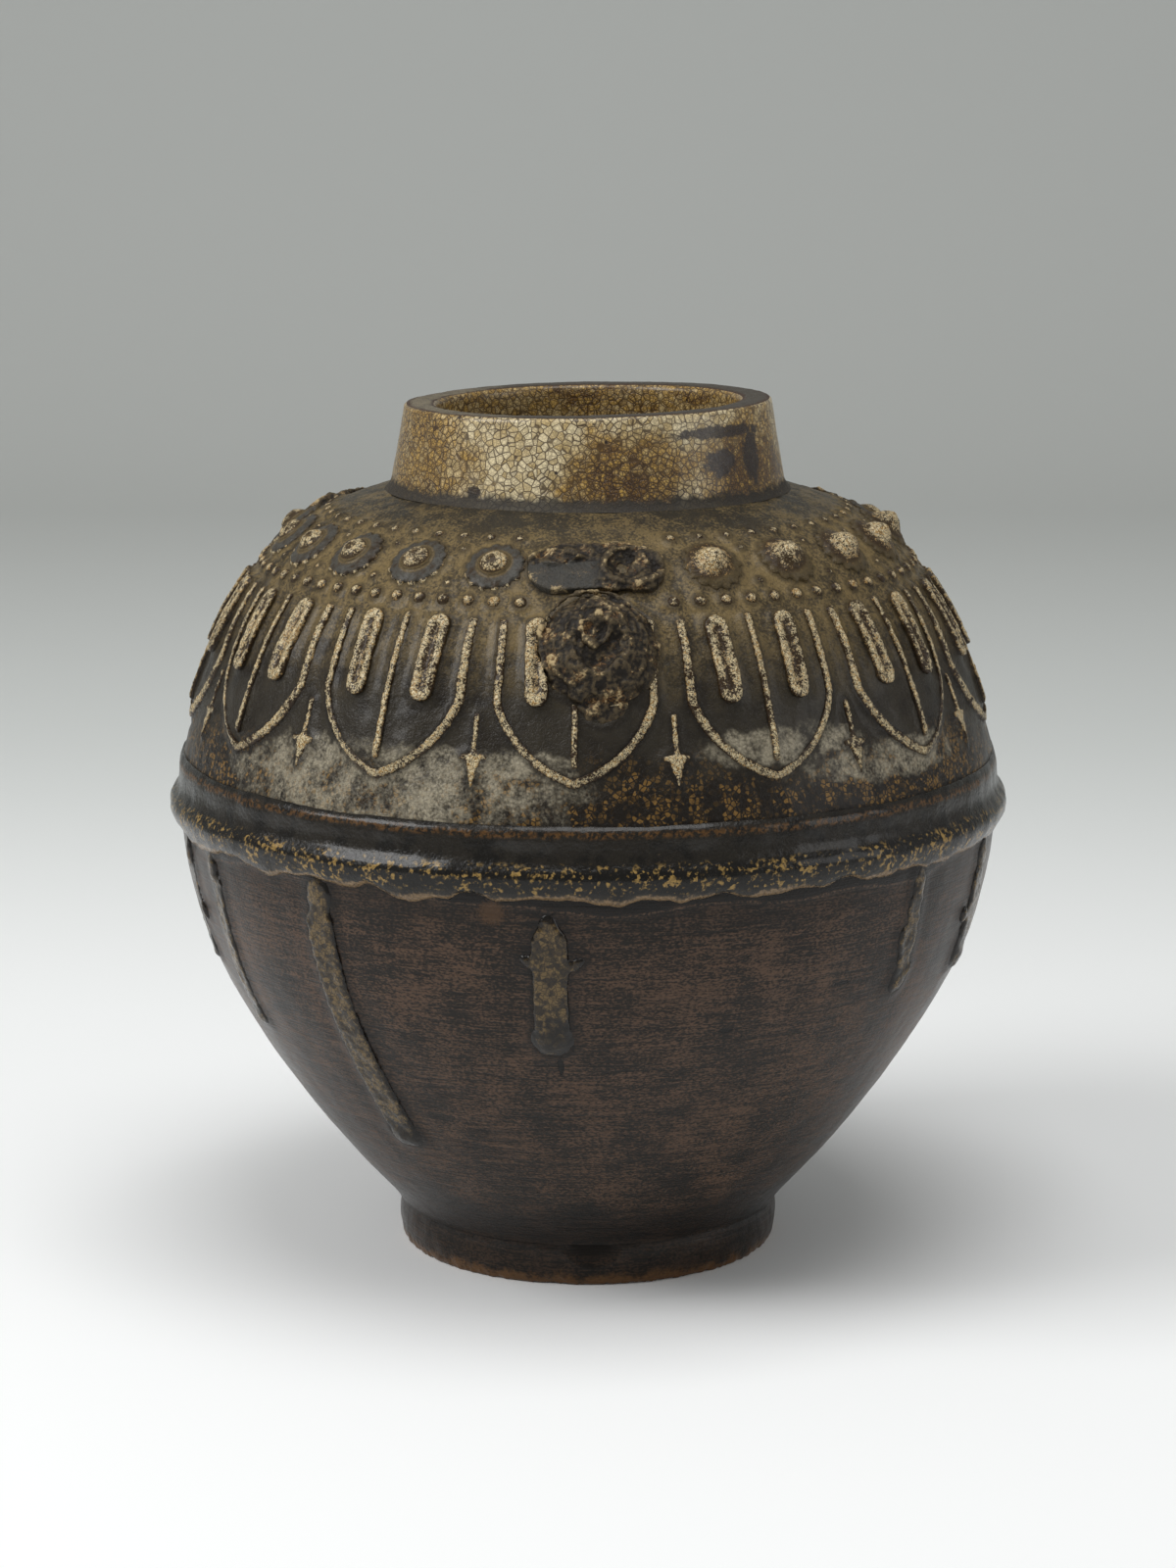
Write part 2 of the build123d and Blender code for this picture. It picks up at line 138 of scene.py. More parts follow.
@dataclass
class Wall:
    """Outer wall of one half of the jar, as radius and height from the seam, with its normals."""

    points: np.ndarray
    normals: np.ndarray = field(init=False)
    lengths: np.ndarray = field(init=False)

    def __post_init__(self) -> None:
        """Works out the outward normals and the lengths along the wall."""
        steps = np.diff(self.points, axis=0)
        self.lengths = np.concatenate([[0.0], np.cumsum(np.hypot(steps[:, 0], steps[:, 1]))])
        slopes = np.gradient(self.points, axis=0)
        slopes /= np.linalg.norm(slopes, axis=1, keepdims=True)
        normals = np.stack([slopes[:, 1], -slopes[:, 0]], axis=1)
        self.normals = normals * np.sign(normals[:, :1] + 1e-9)

    @staticmethod
    def flat(places: np.ndarray) -> np.ndarray:
        """Gives the radius and height of places that are rows of x, y and z."""
        return np.stack([np.hypot(places[:, 0], places[:, 1]), places[:, 2]], axis=1)

    def at(self, share: float, lift: float = 0.0) -> Point:
        """Gives the radius and height at a share of the wall, lifted off it."""
        length = share * self.lengths[-1]
        point = [float(np.interp(length, self.lengths, self.points[:, k])) for k in (0, 1)]
        out = [float(np.interp(length, self.lengths, self.normals[:, k])) for k in (0, 1)]
        return point[0] + out[0] * lift, point[1] + out[1] * lift

    def place(self, angle: float, share: float, lift: float = 0.0) -> Vector:
        """Gives the place at an angle from the front, towards +X, and a share of the wall."""
        radius, height = self.at(share, lift)
        turn = math.radians(angle)
        return Vector((radius * math.sin(turn), -radius * math.cos(turn), height))

    def facing(self, angle: float, share: float) -> Matrix:
        """Gives the turn that lays a flat shape on the wall, its Y up the wall and its Z outwards."""
        out = (self.place(angle, share, MM) - self.place(angle, share)).normalized()
        turn = math.radians(angle)
        across = Vector((math.cos(turn), math.sin(turn), 0.0))
        return Matrix((across, out.cross(across), out)).transposed()

    def nearest(self, places: np.ndarray) -> np.ndarray:
        """Finds the wall's point that is nearest to each place."""
        flat = self.flat(places)
        found = np.empty(len(flat), int)
        for first in range(0, len(flat), PLACES_AT_ONCE):
            some = slice(first, first + PLACES_AT_ONCE)
            apart = flat[some, None, :] - self.points[None, :, :]
            found[some] = np.argmin((apart**2).sum(axis=2), axis=1)
        return found

    def rise(self, places: np.ndarray) -> np.ndarray:
        """Measures how far places stand out of the wall, in metres, negative inside it."""
        nearest = self.nearest(places)
        return ((self.flat(places) - self.points[nearest]) * self.normals[nearest]).sum(axis=1)

    def share_of(self, places: np.ndarray) -> np.ndarray:
        """Gives the share of the wall beside each place."""
        return self.lengths[self.nearest(places)] / self.lengths[-1]


@dataclass(frozen=True)
class Shape:
    """Sizes of the thrown jar, the same as those of its solids, in metres, and shares of its walls."""

    height: float = 0.254
    body_radius: float = 0.1215
    wall: float = 0.0085
    seam_height: float = 0.138
    root_radius: float = 0.0565
    foot_height: float = 0.0135
    foot_radius: float = 0.0573
    heel_radius: float = 0.056
    foot_wall: float = 0.011
    base_drop: float = 0.0045
    neck_height: float = 0.026
    neck_root_radius: float = 0.060
    neck_wall_radius: float = 0.0583
    lip_radius: float = 0.0543
    mouth_radius: float = 0.0445
    throat_step: float = 0.0015
    rim_tilt: float = 0.018
    cheek_swell: float = 0.063
    cheek_rise: float = 0.244
    slope_rise: float = 0.54
    belly_swell: float = 0.232
    belly_rise: float = 0.466

    def upper_wall(self) -> Wall:
        """Draws the wall from the seam to the neck."""
        top = (self.neck_root_radius, self.height - self.neck_height)
        swell, rise = self.body_radius - self.neck_root_radius, top[1] - self.seam_height
        start = (self.body_radius, self.seam_height)
        cheek = (self.body_radius - swell * self.cheek_swell, self.seam_height + rise * self.cheek_rise)
        lean = 2 * math.atan2(start[0] - cheek[0], cheek[1] - start[1])
        climb = rise * (self.slope_rise - self.cheek_rise)
        slope = (cheek[0] - climb * math.tan(lean), cheek[1] + climb)
        points = [start] + tangent_arc(start, 0.0, cheek, SHORT_ARC)
        points += tangent_arc(cheek, lean, slope, SHORT_ARC) + tangent_arc(slope, lean, top, LONG_ARC)
        return Wall(np.array(points))

    def lower_wall(self) -> Wall:
        """Draws the wall from the seam to the foot."""
        swell, rise = self.body_radius - self.root_radius, self.seam_height - self.foot_height
        start = (self.body_radius, 0.0)
        belly = (self.body_radius - swell * self.belly_swell, rise * self.belly_rise)
        lean = 2 * math.atan2(start[0] - belly[0], belly[1])
        points = [start] + tangent_arc(start, 0.0, belly, BELLY_ARC)
        points += tangent_arc(belly, lean, (self.root_radius, rise), LONG_ARC)
        return Wall(np.array([(radius, self.seam_height - drop) for radius, drop in points]))


@dataclass(frozen=True)
class PetalMound:
    """Swelling of the clay inside each petal's outline. Widths are shares of the petals' pitch."""

    count: int = 13
    angle: float = -1.8
    height: float = 0.0021
    middle_share: float = 0.41
    top_share: float = 0.605
    side_share: float = 0.4
    tip_share: float = 0.195
    top_width: float = 0.8
    side_width: float = 0.86
    bow: float = 1.9
    steepness: float = 1.7
    foot_length: float = 0.07
    fade_start: float = 0.31
    fade_length: float = 0.27
    fade: float = 0.8

    def weights(self, places: np.ndarray, wall: Wall) -> np.ndarray:
        """Gives the mound's height at each place as a share of its full height.

        Args:
            places: Points as rows of x, y and z.
            wall: The shoulder's wall.

        Returns:
            A weight from 0 to 1 for each place.
        """
        share, pitch = wall.share_of(places), 360 / self.count
        away = (np.degrees(angles(places)) - self.angle + pitch / 2) % pitch - pitch / 2
        across = np.abs(np.radians(away)) * np.hypot(places[:, 0], places[:, 1])
        width = math.tau * wall.at(self.middle_share)[0] / self.count
        below = np.clip((self.side_share - share) / (self.side_share - self.tip_share), 0, 1)
        above = np.clip((share - self.side_share) / (self.top_share - self.side_share), 0, 1)
        spread = self.side_width + (self.top_width - self.side_width) * above
        half = width / 2 * spread * (1 - below**self.bow)
        inside = np.clip(1 - across / np.maximum(half, TINY), 0, 1)
        crown = np.sin(np.minimum(inside * self.steepness, 1) * math.pi / 2)
        foot = eased(np.clip((share - self.tip_share) / self.foot_length, 0, 1))
        fade = eased(np.clip((share - self.fade_start) / self.fade_length, 0, 1))
        return crown * foot * (1 - self.fade * fade) * (above < 1)


# Modelling steps

class Mark(Enum):
    """Values kept on the meshes for the finishes."""

    APRON = "apron"
    CHIP = "chip"
    CREST = "crest"
    DISC = "disc"
    FIELD = "field"
    LIP = "lip"
    RISE = "rise"


class Bench:
    """Modelling steps that the pieces share."""

    @staticmethod
    def clear() -> None:
        """Leaves edit mode and deselects everything."""
        if bpy.context.object and bpy.context.object.mode != "OBJECT":
            bpy.ops.object.mode_set(mode="OBJECT")
        bpy.ops.object.select_all(action="DESELECT")

    @classmethod
    def take(cls, piece: Piece) -> None:
        """Makes one piece the selected and active object."""
        cls.clear()
        piece.select_set(True)
        bpy.context.view_layer.objects.active = piece

    @staticmethod
    def named(name: str) -> Piece:
        """Names the object that was added last, and its mesh."""
        piece = bpy.context.object
        piece.name = name
        piece.data.name = name
        return piece

    @classmethod
    def settled(cls) -> Piece:
        """Puts the place, turn and size of the object that was added last into its mesh."""
        piece = bpy.context.object
        cls.take(piece)
        bpy.ops.object.transform_apply(location=True, rotation=True, scale=True)
        return piece

    @classmethod
    def spun(cls, name: str, outline: Sequence[Point], steps: int) -> Piece:
        """Extrudes a closed profile point by point and spins it round the jar's axis.

        Args:
            name: Name of the piece.
            outline: Radius and height of each point of the profile.
            steps: Steps of the spin.

        Returns:
            The turned piece.
        """
        cls.clear()
        bpy.ops.mesh.primitive_circle_add(vertices=3, radius=MM, location=(0, 0, 0))
        piece = cls.named(name)
        bpy.ops.object.mode_set(mode="EDIT")
        bpy.ops.mesh.select_all(action="DESELECT")
        bpy.ops.object.mode_set(mode="OBJECT")
        for vertex in piece.data.vertices:
            vertex.select = vertex.index > 0
        bpy.ops.object.mode_set(mode="EDIT")
        bpy.ops.mesh.delete(type="VERT")
        bpy.ops.mesh.select_all(action="SELECT")
        bpy.ops.object.mode_set(mode="OBJECT")
        here = piece.data.vertices[0].co.copy()
        bpy.ops.object.mode_set(mode="EDIT")
        places = [Vector((radius, 0.0, height)) for radius, height in outline]
        bpy.ops.transform.translate(value=places[0] - here)
        for last, place in zip(places, places[1:] + places[:1]):
            bpy.ops.mesh.extrude_region_move(TRANSFORM_OT_translate={"value": place - last})
        bpy.ops.mesh.select_all(action="SELECT")
        bpy.ops.mesh.spin(steps=steps, angle=math.tau, center=(0, 0, 0), axis=(0, 0, 1))
        bpy.ops.mesh.select_all(action="SELECT")
        bpy.ops.mesh.remove_doubles(threshold=SPUN_DOUBLES)
        bpy.ops.mesh.normals_make_consistent(inside=False)
        bpy.ops.object.mode_set(mode="OBJECT")
        return piece

    @classmethod
    def copied(cls, name: str, node: Piece) -> Piece:
        """Takes a merged copy of a solid's mesh to work on."""
        piece = bpy.data.objects.new(name, node.data.copy())
        piece.data.name = name
        piece.data.materials.clear()
        bpy.context.scene.collection.objects.link(piece)
        cls.take(piece)
        bpy.ops.object.mode_set(mode="EDIT")
        bpy.ops.mesh.select_all(action="SELECT")
        bpy.ops.mesh.remove_doubles(threshold=SOLID_DOUBLES)
        bpy.ops.object.mode_set(mode="OBJECT")
        return piece

    @classmethod
    def rooted(cls, piece: Piece, wall: Wall, depth: float) -> None:
        """Extrudes the faces that lie on the wall down into it.

        Args:
            piece: The piece.
            wall: The wall that it lies on.
            depth: How deep the piece is sunk.
        """
        cls.take(piece)
        mesh = piece.data
        on_wall = np.abs(wall.rise(cls.places(piece))) < TOUCHING
        picked = []
        for polygon in mesh.polygons:
            centre = polygon.center
            inward = polygon.normal.x * centre.x + polygon.normal.y * centre.y < 0
            picked.append(bool(inward and all(on_wall[i] for i in polygon.vertices)))
        bpy.ops.object.mode_set(mode="EDIT")
        bpy.ops.mesh.select_mode(type="FACE")
        bpy.ops.mesh.select_all(action="DESELECT")
        bpy.ops.object.mode_set(mode="OBJECT")
        mesh.polygons.foreach_set("select", picked)
        bpy.ops.object.mode_set(mode="EDIT")
        bpy.ops.mesh.extrude_region_shrink_fatten(TRANSFORM_OT_shrink_fatten={"value": depth})
        bpy.ops.mesh.select_mode(type="VERT")
        bpy.ops.object.mode_set(mode="OBJECT")

    @classmethod
    def applied(cls, piece: Piece, kind: str, **settings: object) -> None:
        """Adds a modifier with its settings and applies it."""
        cls.take(piece)
        modifier = piece.modifiers.new(kind.title(), kind)
        for name, value in settings.items():
            setattr(modifier, name, value)
        bpy.ops.object.modifier_apply(modifier=modifier.name)

    @classmethod
    def softened(cls, piece: Piece, voxel: float, rounds: int) -> None:
        """Remeshes a piece with voxels of a size in millimetres and smooths it some rounds."""
        cls.applied(piece, "REMESH", mode="VOXEL", voxel_size=voxel * MM)
        cls.applied(piece, "SMOOTH", factor=0.5, iterations=rounds)

    @classmethod
    def roughened(cls, piece: Piece, *layers: Point, detail: int = 3, **settings: object) -> None:
        """Presses noise into a piece, along its normals unless the settings name another way.

        Args:
            piece: The piece.
            layers: Size of the lumps and greatest difference in height of each noise, in millimetres.
            detail: Finer noises inside each noise.
            settings: Further settings of the displacement.
        """
        for size, depth in layers:
            texture = bpy.data.textures.new(f"{piece.name}_noise", "CLOUDS")
            texture.noise_scale = size * MM
            texture.noise_depth = detail
            settings |= {"texture": texture, "strength": depth * MM}
            cls.applied(piece, "DISPLACE", texture_coords="LOCAL", **settings)

    @classmethod
    def raised(cls, piece: Piece, group: str, weights: np.ndarray, **ways: float) -> None:
        """Moves a piece by weights that it keeps as a group.

        Args:
            piece: The piece.
            group: Name of the group.
            weights: Weight of each vertex, from 0 to 1.
            ways: Length of the move along each named direction, in metres.
        """
        cls.weighted(piece, group, weights)
        for way, length in ways.items():
            settings = {"direction": way, "strength": length, "mid_level": 0.0, "vertex_group": group}
            cls.applied(piece, "DISPLACE", **settings)

    @staticmethod
    def places(piece: Piece) -> np.ndarray:
        """Gives the places of a piece's vertices as rows."""
        flat = np.empty(len(piece.data.vertices) * 3)
        piece.data.vertices.foreach_get("co", flat)
        return flat.reshape(-1, 3)

    @staticmethod
    def edges(piece: Piece) -> tuple[np.ndarray, np.ndarray]:
        """Gives the first and the second vertex of each edge."""
        pairs = np.empty(len(piece.data.edges) * 2, np.int32)
        piece.data.edges.foreach_get("vertices", pairs)
        return pairs[::2], pairs[1::2]

    @classmethod
    def evened(cls, piece: Piece, values: np.ndarray, rounds: int) -> np.ndarray:
        """Averages a value of each vertex with its neighbours', several times over."""
        count = len(values)
        first, second = cls.edges(piece)
        degree = np.maximum(np.bincount(first, minlength=count) + np.bincount(second, minlength=count), 1)
        for _ in range(rounds):
            total = np.bincount(first, values[second], count) + np.bincount(second, values[first], count)
            values = (values + total / degree) / 2
        return values

    @classmethod
    def peaks(cls, piece: Piece, values: np.ndarray, rounds: int) -> np.ndarray:
        """Gives the highest value within a number of edges of each vertex."""
        first, second = cls.edges(piece)
        for _ in range(rounds):
            highest = values.copy()
            np.maximum.at(highest, first, values[second])
            np.maximum.at(highest, second, values[first])
            values = highest
        return values

    @classmethod
    def skirt(cls, piece: Piece, wall: Wall, others: Sequence[Piece], width: float) -> np.ndarray:
        """Measures how near the outside of a thrown piece comes to the pieces that stand on it.

        Args:
            piece: The thrown piece.
            wall: Its wall.
            others: The pieces that stand on it.
            width: Width of the skirt round each of them.

        Returns:
            A weight for each vertex, 1 beside a piece and 0 from the width on.
        """
        places = cls.places(piece)
        outside = np.flatnonzero(wall.rise(places) > INSIDE)
        found = np.full(len(places), 1.0)
        for other in others:
            corners = cls.places(other)
            low, high = corners.min(axis=0) - width, corners.max(axis=0) + width
            near = np.all((places[outside] > low) & (places[outside] < high), axis=1)
            tree = BVHTree.FromObject(other, bpy.context.evaluated_depsgraph_get())
            for index in outside[near]:
                distance = tree.find_nearest(Vector(places[index]), width)[3]
                if distance is not None and distance < found[index]:
                    found[index] = distance
        return np.clip(1 - found / width, 0, 1) ** 2

    @classmethod
    def blob(cls, wall: Wall, angle: float, share: float, size: Size, turn: float = 0.0) -> Piece:
        """Adds a flattened lump on a wall.

        Args:
            wall: The wall.
            angle: Angle from the front, in degrees.
            share: Share of the wall.
            size: Half its width, length and height, in millimetres.
            turn: Turn on the wall, in degrees.

        Returns:
            The lump.
        """
        facing = wall.facing(angle, share) @ Matrix.Rotation(math.radians(turn), 3, "Z")
        cls.clear()
        bpy.ops.mesh.primitive_ico_sphere_add(
            subdivisions=3,
            radius=1.0,
            location=wall.place(angle, share),
            rotation=facing.to_euler(),
            scale=[part * MM for part in size],
        )
        return cls.settled()

    @classmethod
    def ring(cls, wall: Wall, angle: float, share: float, size: Size, lift: float) -> Piece:
        """Adds a coil that lies over a wall.

        Args:
            wall: The wall.
            angle: Angle from the front, in degrees.
            share: Share of the wall.
            size: Half its width, half its length and its thickness, in millimetres.
            lift: Height over the wall, in millimetres.

        Returns:
            The coil.
        """
        wide, tall, thick = size
        cls.clear()
        bpy.ops.mesh.primitive_torus_add(
            major_segments=40,
            minor_segments=8,
            major_radius=wide * MM,
            minor_radius=thick * MM,
            location=(0, 0, 0),
        )
        coil = bpy.context.object
        coil.scale = (1.0, tall / wide, 1.0)
        coil.rotation_euler = wall.facing(angle, share).to_euler()
        coil.location = wall.place(angle, share, lift * MM)
        return cls.settled()

    @staticmethod
    def weighted(piece: Piece, name: str, weights: np.ndarray) -> None:
        """Paints weights between 0 and 1 on a piece's vertices."""
        group = piece.vertex_groups.new(name=name)
        for index in np.flatnonzero(weights > LEAST_WEIGHT):
            group.add([int(index)], float(weights[index]), "REPLACE")

    @staticmethod
    def marked(piece: Piece, marks: dict[Mark, np.ndarray]) -> None:
        """Keeps values of each vertex for the finish."""
        for mark, values in marks.items():
            attribute = piece.data.attributes.new(mark.value, "FLOAT", "POINT")
            attribute.data.foreach_set("value", values.astype(np.float32))

    @classmethod
    def smooth(cls, piece: Piece, angle: Optional[float] = None) -> None:
        """Shades a piece smooth, with edges over an angle in degrees kept sharp."""
        cls.take(piece)
        if angle is None:
            bpy.ops.object.shade_smooth()
        else:
            bpy.ops.object.shade_smooth_by_angle(angle=math.radians(angle))

    @classmethod
    def joined(cls, piece: Piece, others: Sequence[Piece]) -> None:
        """Joins other pieces into one."""
        cls.take(piece)
        for other in others:
            other.select_set(True)
        bpy.ops.object.join()


# Shader values

class Value:
    """A number that varies over a surface, written in expressions."""

    def __init__(self, paint: Paint, socket: Socket) -> None:
        """Wraps a node's output socket."""
        self.paint = paint
        self.socket = socket

    def math(self, operation: str, *others: Number) -> Value:
        """Adds a Math node on this value and others."""
        inputs = dict(enumerate((self, *others)))
        return Value(self.paint, self.paint.node("ShaderNodeMath", inputs, operation=operation).outputs[0])

    def __add__(self, other: Number) -> Value:
        """Adds."""
        return self.math("ADD", other)

    def __sub__(self, other: Number) -> Value:
        """Subtracts."""
        return self.math("SUBTRACT", other)

    def __rsub__(self, other: float) -> Value:
        """Subtracts from a number."""
        made = self.paint.node("ShaderNodeValue")
        made.outputs[0].default_value = other
        return Value(self.paint, made.outputs[0]).math("SUBTRACT", self)

    def __mul__(self, other: Number) -> Value:
        """Multiplies."""
        return self.math("MULTIPLY", other)

    def __truediv__(self, other: Number) -> Value:
        """Divides."""
        return self.math("DIVIDE", other)

    def most(self, other: Number) -> Value:
        """Gives the larger of two values."""
        return self.math("MAXIMUM", other)

    def least(self, other: Number) -> Value:
        """Gives the smaller of two values."""
        return self.math("MINIMUM", other)

    def shaken(self, noise: Value, amount: float) -> Value:
        """Adds a noise from 0 to 1, centred on nothing, by an amount."""
        return self + (noise - 0.5) * amount

    def step(self, low: float, high: float) -> Value:
        """Gives a soft step from 0 at one value to 1 at another, which may be the lower one."""
        inputs = {"Value": self, "From Min": min(low, high), "From Max": max(low, high)}
        if low > high:
            inputs |= {"To Min": 1.0, "To Max": 0.0}
        made = self.paint.node("ShaderNodeMapRange", inputs, interpolation_type="SMOOTHSTEP")
        return Value(self.paint, made.outputs["Result"])

    def band(self, low: float, high: float, soft: float) -> Value:
        """Gives 1 between two values and 0 outside, with soft ends."""
        return self.step(low - soft, low + soft) * self.step(high + soft, high - soft)


class Paint:
    """Builds one material from nodes, its colour laid on coat by coat."""

    wander: float = 0.25
    crumble: float = 1.6

    def __init__(self, name: str) -> None:
        """Starts a material with a shader and the piece's own coordinates."""
        self.material = bpy.data.materials.new(name)
        self.material.use_nodes = True
        self.tree = self.material.node_tree
        self.tree.nodes.clear()
        self.shader = self.node("ShaderNodeBsdfPrincipled")
        self.node("ShaderNodeOutputMaterial", {0: self.shader.outputs[0]})
        self.coordinates = self.node("ShaderNodeTexCoord").outputs["Object"]
        parts = self.node("ShaderNodeSeparateXYZ", {0: self.coordinates})
        x, y, z = (Value(self, parts.outputs[i]) for i in range(3))
        self.back = y
        self.angle = x.math("ARCTAN2", y * -1.0) * math.degrees(1)
        self.height = z * MM_PER_METRE
        self.radius = (x * x + y * y).math("SQRT") * MM_PER_METRE
        self.colour: object = None

    def wire(self, socket: Socket, term: object) -> None:
        """Links a value or a socket to an input, or sets the input to a plain amount."""
        source = term.socket if isinstance(term, Value) else term
        if isinstance(source, bpy.types.NodeSocket):
            self.tree.links.new(source, socket)
        else:
            socket.default_value = source

    def node(self, kind: str, inputs: Optional[Inputs] = None, **settings: object) -> Node:
        """Adds a node.

        Args:
            kind: Type of the node.
            inputs: Values or links of its sockets, by name or index.
            settings: Its settings, set first.

        Returns:
            The node.
        """
        made = self.tree.nodes.new(kind)
        for name, setting in settings.items():
            setattr(made, name, setting)
        for key, term in (inputs or {}).items():
            self.wire(made.inputs[key], term)
        return made

    def kept(self, mark: Mark) -> Value:
        """Reads a value kept on the mesh."""
        made = self.node("ShaderNodeAttribute", attribute_type="GEOMETRY", attribute_name=mark.value)
        return Value(self, made.outputs["Fac"])

    def mapped(self, stretch: Size = (1, 1, 1), shift: float = 0.0) -> Socket:
        """Gives the piece's coordinates stretched and shifted."""
        inputs = {"Vector": self.coordinates, "Scale": stretch, "Location": (shift,) * 3}
        return self.node("ShaderNodeMapping", inputs).outputs[0]

    def noise(
        self,
        size: float,
        detail: float = 3.0,
        stretch: Size = (1, 1, 1),
        shift: float = 0.0,
        bend: float = 0.0,
    ) -> Value:
        """Adds a soft noise from 0 to 1 with blotches of a size in millimetres."""
        inputs = {"Vector": self.mapped(stretch, shift), "Scale": 1.0 / (size * MM), "Detail": detail}
        inputs |= {"Roughness": 0.55, "Distortion": bend}
        return Value(self, self.node("ShaderNodeTexNoise", inputs).outputs[0])

    def net(self, cell: float, shift: float, feature: str) -> Node:
        """Adds a net of cells with wandering edges, of a size in millimetres."""
        grain = {"Vector": self.coordinates, "Scale": 0.9 / (cell * MM), "Detail": 2.0}
        wander = self.node("ShaderNodeTexNoise", grain).outputs["Color"]
        amount = (self.wander * cell * MM,) * 3
        moved = self.node("ShaderNodeVectorMath", {0: wander, 1: amount}, operation="MULTIPLY").outputs[0]
        place = {0: moved, 1: self.mapped(shift=shift)}
        inputs = {"Vector": self.node("ShaderNodeVectorMath", place, operation="ADD").outputs[0]}
        inputs["Scale"] = 1.0 / (cell * MM)
        return self.node("ShaderNodeTexVoronoi", inputs, feature=feature)

    def cracks(self, cell: float, width: float, shift: float = 0.0) -> Value:
        """Draws a net of crazing lines.

        Args:
            cell: Size of a cell in millimetres.
            width: Width of a line in millimetres.
            shift: Shift that gives another net.

        Returns:
            1 on a line and 0 between lines.
        """
        half = width / cell / 2
        away = self.net(cell, shift, "DISTANCE_TO_EDGE").outputs["Distance"]
        return Value(self, away).step(half * 1.7, half * 0.5)

    def cells(self, cell: float) -> Value:
        """Gives each cell of a net of crazing lines a value of its own, from 0 to 1."""
        tint = self.net(cell, 0.0, "F1").outputs["Color"]
        return Value(self, self.node("ShaderNodeSeparateColor", {0: tint}).outputs[0])

    def pits(self, cell: float, share: float) -> Value:
        """Draws scattered round pits, 1 in a pit, a cell apart and a share of it wide."""
        inputs = {"Vector": self.coordinates, "Scale": 1.0 / (cell * MM), "Randomness": 1.0}
        near = Value(self, self.node("ShaderNodeTexVoronoi", inputs, feature="F1").outputs["Distance"])
        return near.step(share, share * 0.4)

    def mixed(self, first: object, second: object, factor: Number) -> Socket:
        """Mixes two colours by a factor."""
        inputs = {0: factor, 6: first, 7: second}
        return self.node("ShaderNodeMix", inputs, data_type="RGBA", clamp_factor=True).outputs[2]

    def lay(self, colour: object, factor: Number) -> None:
        """Lays a colour over what is painted so far, by a factor."""
        self.colour = self.mixed(self.colour, colour, factor)

    def spot(self, oval: Spot, rough: Value, soft: float = 0.17) -> Value:
        """Masks an oval on the wall.

        Args:
            oval: Angle and height of its middle, then half its width and height, in degrees and mm.
            rough: Noise that breaks up its edge.
            soft: Width of the soft edge, as a share of the oval.

        Returns:
            1 inside the oval and 0 outside.
        """
        angle, height, wide, tall = oval
        across = (self.angle - angle) / wide
        up = (self.height - height) / tall
        reach = (across * across + up * up).math("SQRT")
        return reach.shaken(rough, self.crumble).step(1.0 + soft, 1.0 - soft)

    def spots(self, ovals: Sequence[Spot], rough: Value) -> Value:
        """Masks several ovals together."""
        return reduce(Value.most, (self.spot(oval, rough) for oval in ovals))

    def finish(
        self,
        roughness: Number,
        relief: Optional[Value] = None,
        depth: float = 0.3,
        coat: Number = 0.0,
        coat_roughness: float = 0.12,
        gloss: float = 0.5,
    ) -> Material:
        """Sets the shader.

        Args:
            roughness: Roughness.
            relief: Height of the fine relief, from 0 to 1.
            depth: Depth of that relief in millimetres.
            coat: Weight of the clear glaze.
            coat_roughness: Roughness of the clear glaze.
            gloss: Level of the reflections.

        Returns:
            The material.
        """
        terms = {"Base Color": self.colour, "Roughness": roughness, "Coat Weight": coat}
        terms |= {"Coat Roughness": coat_roughness, "Specular IOR Level": gloss}
        if relief is not None:
            bump = {"Height": relief, "Distance": depth * MM, "Strength": 1.0}
            terms["Normal"] = self.node("ShaderNodeBump", bump).outputs[0]
        for name, term in terms.items():
            self.wire(self.shader.inputs[name], term)
        return self.material


# Finishes

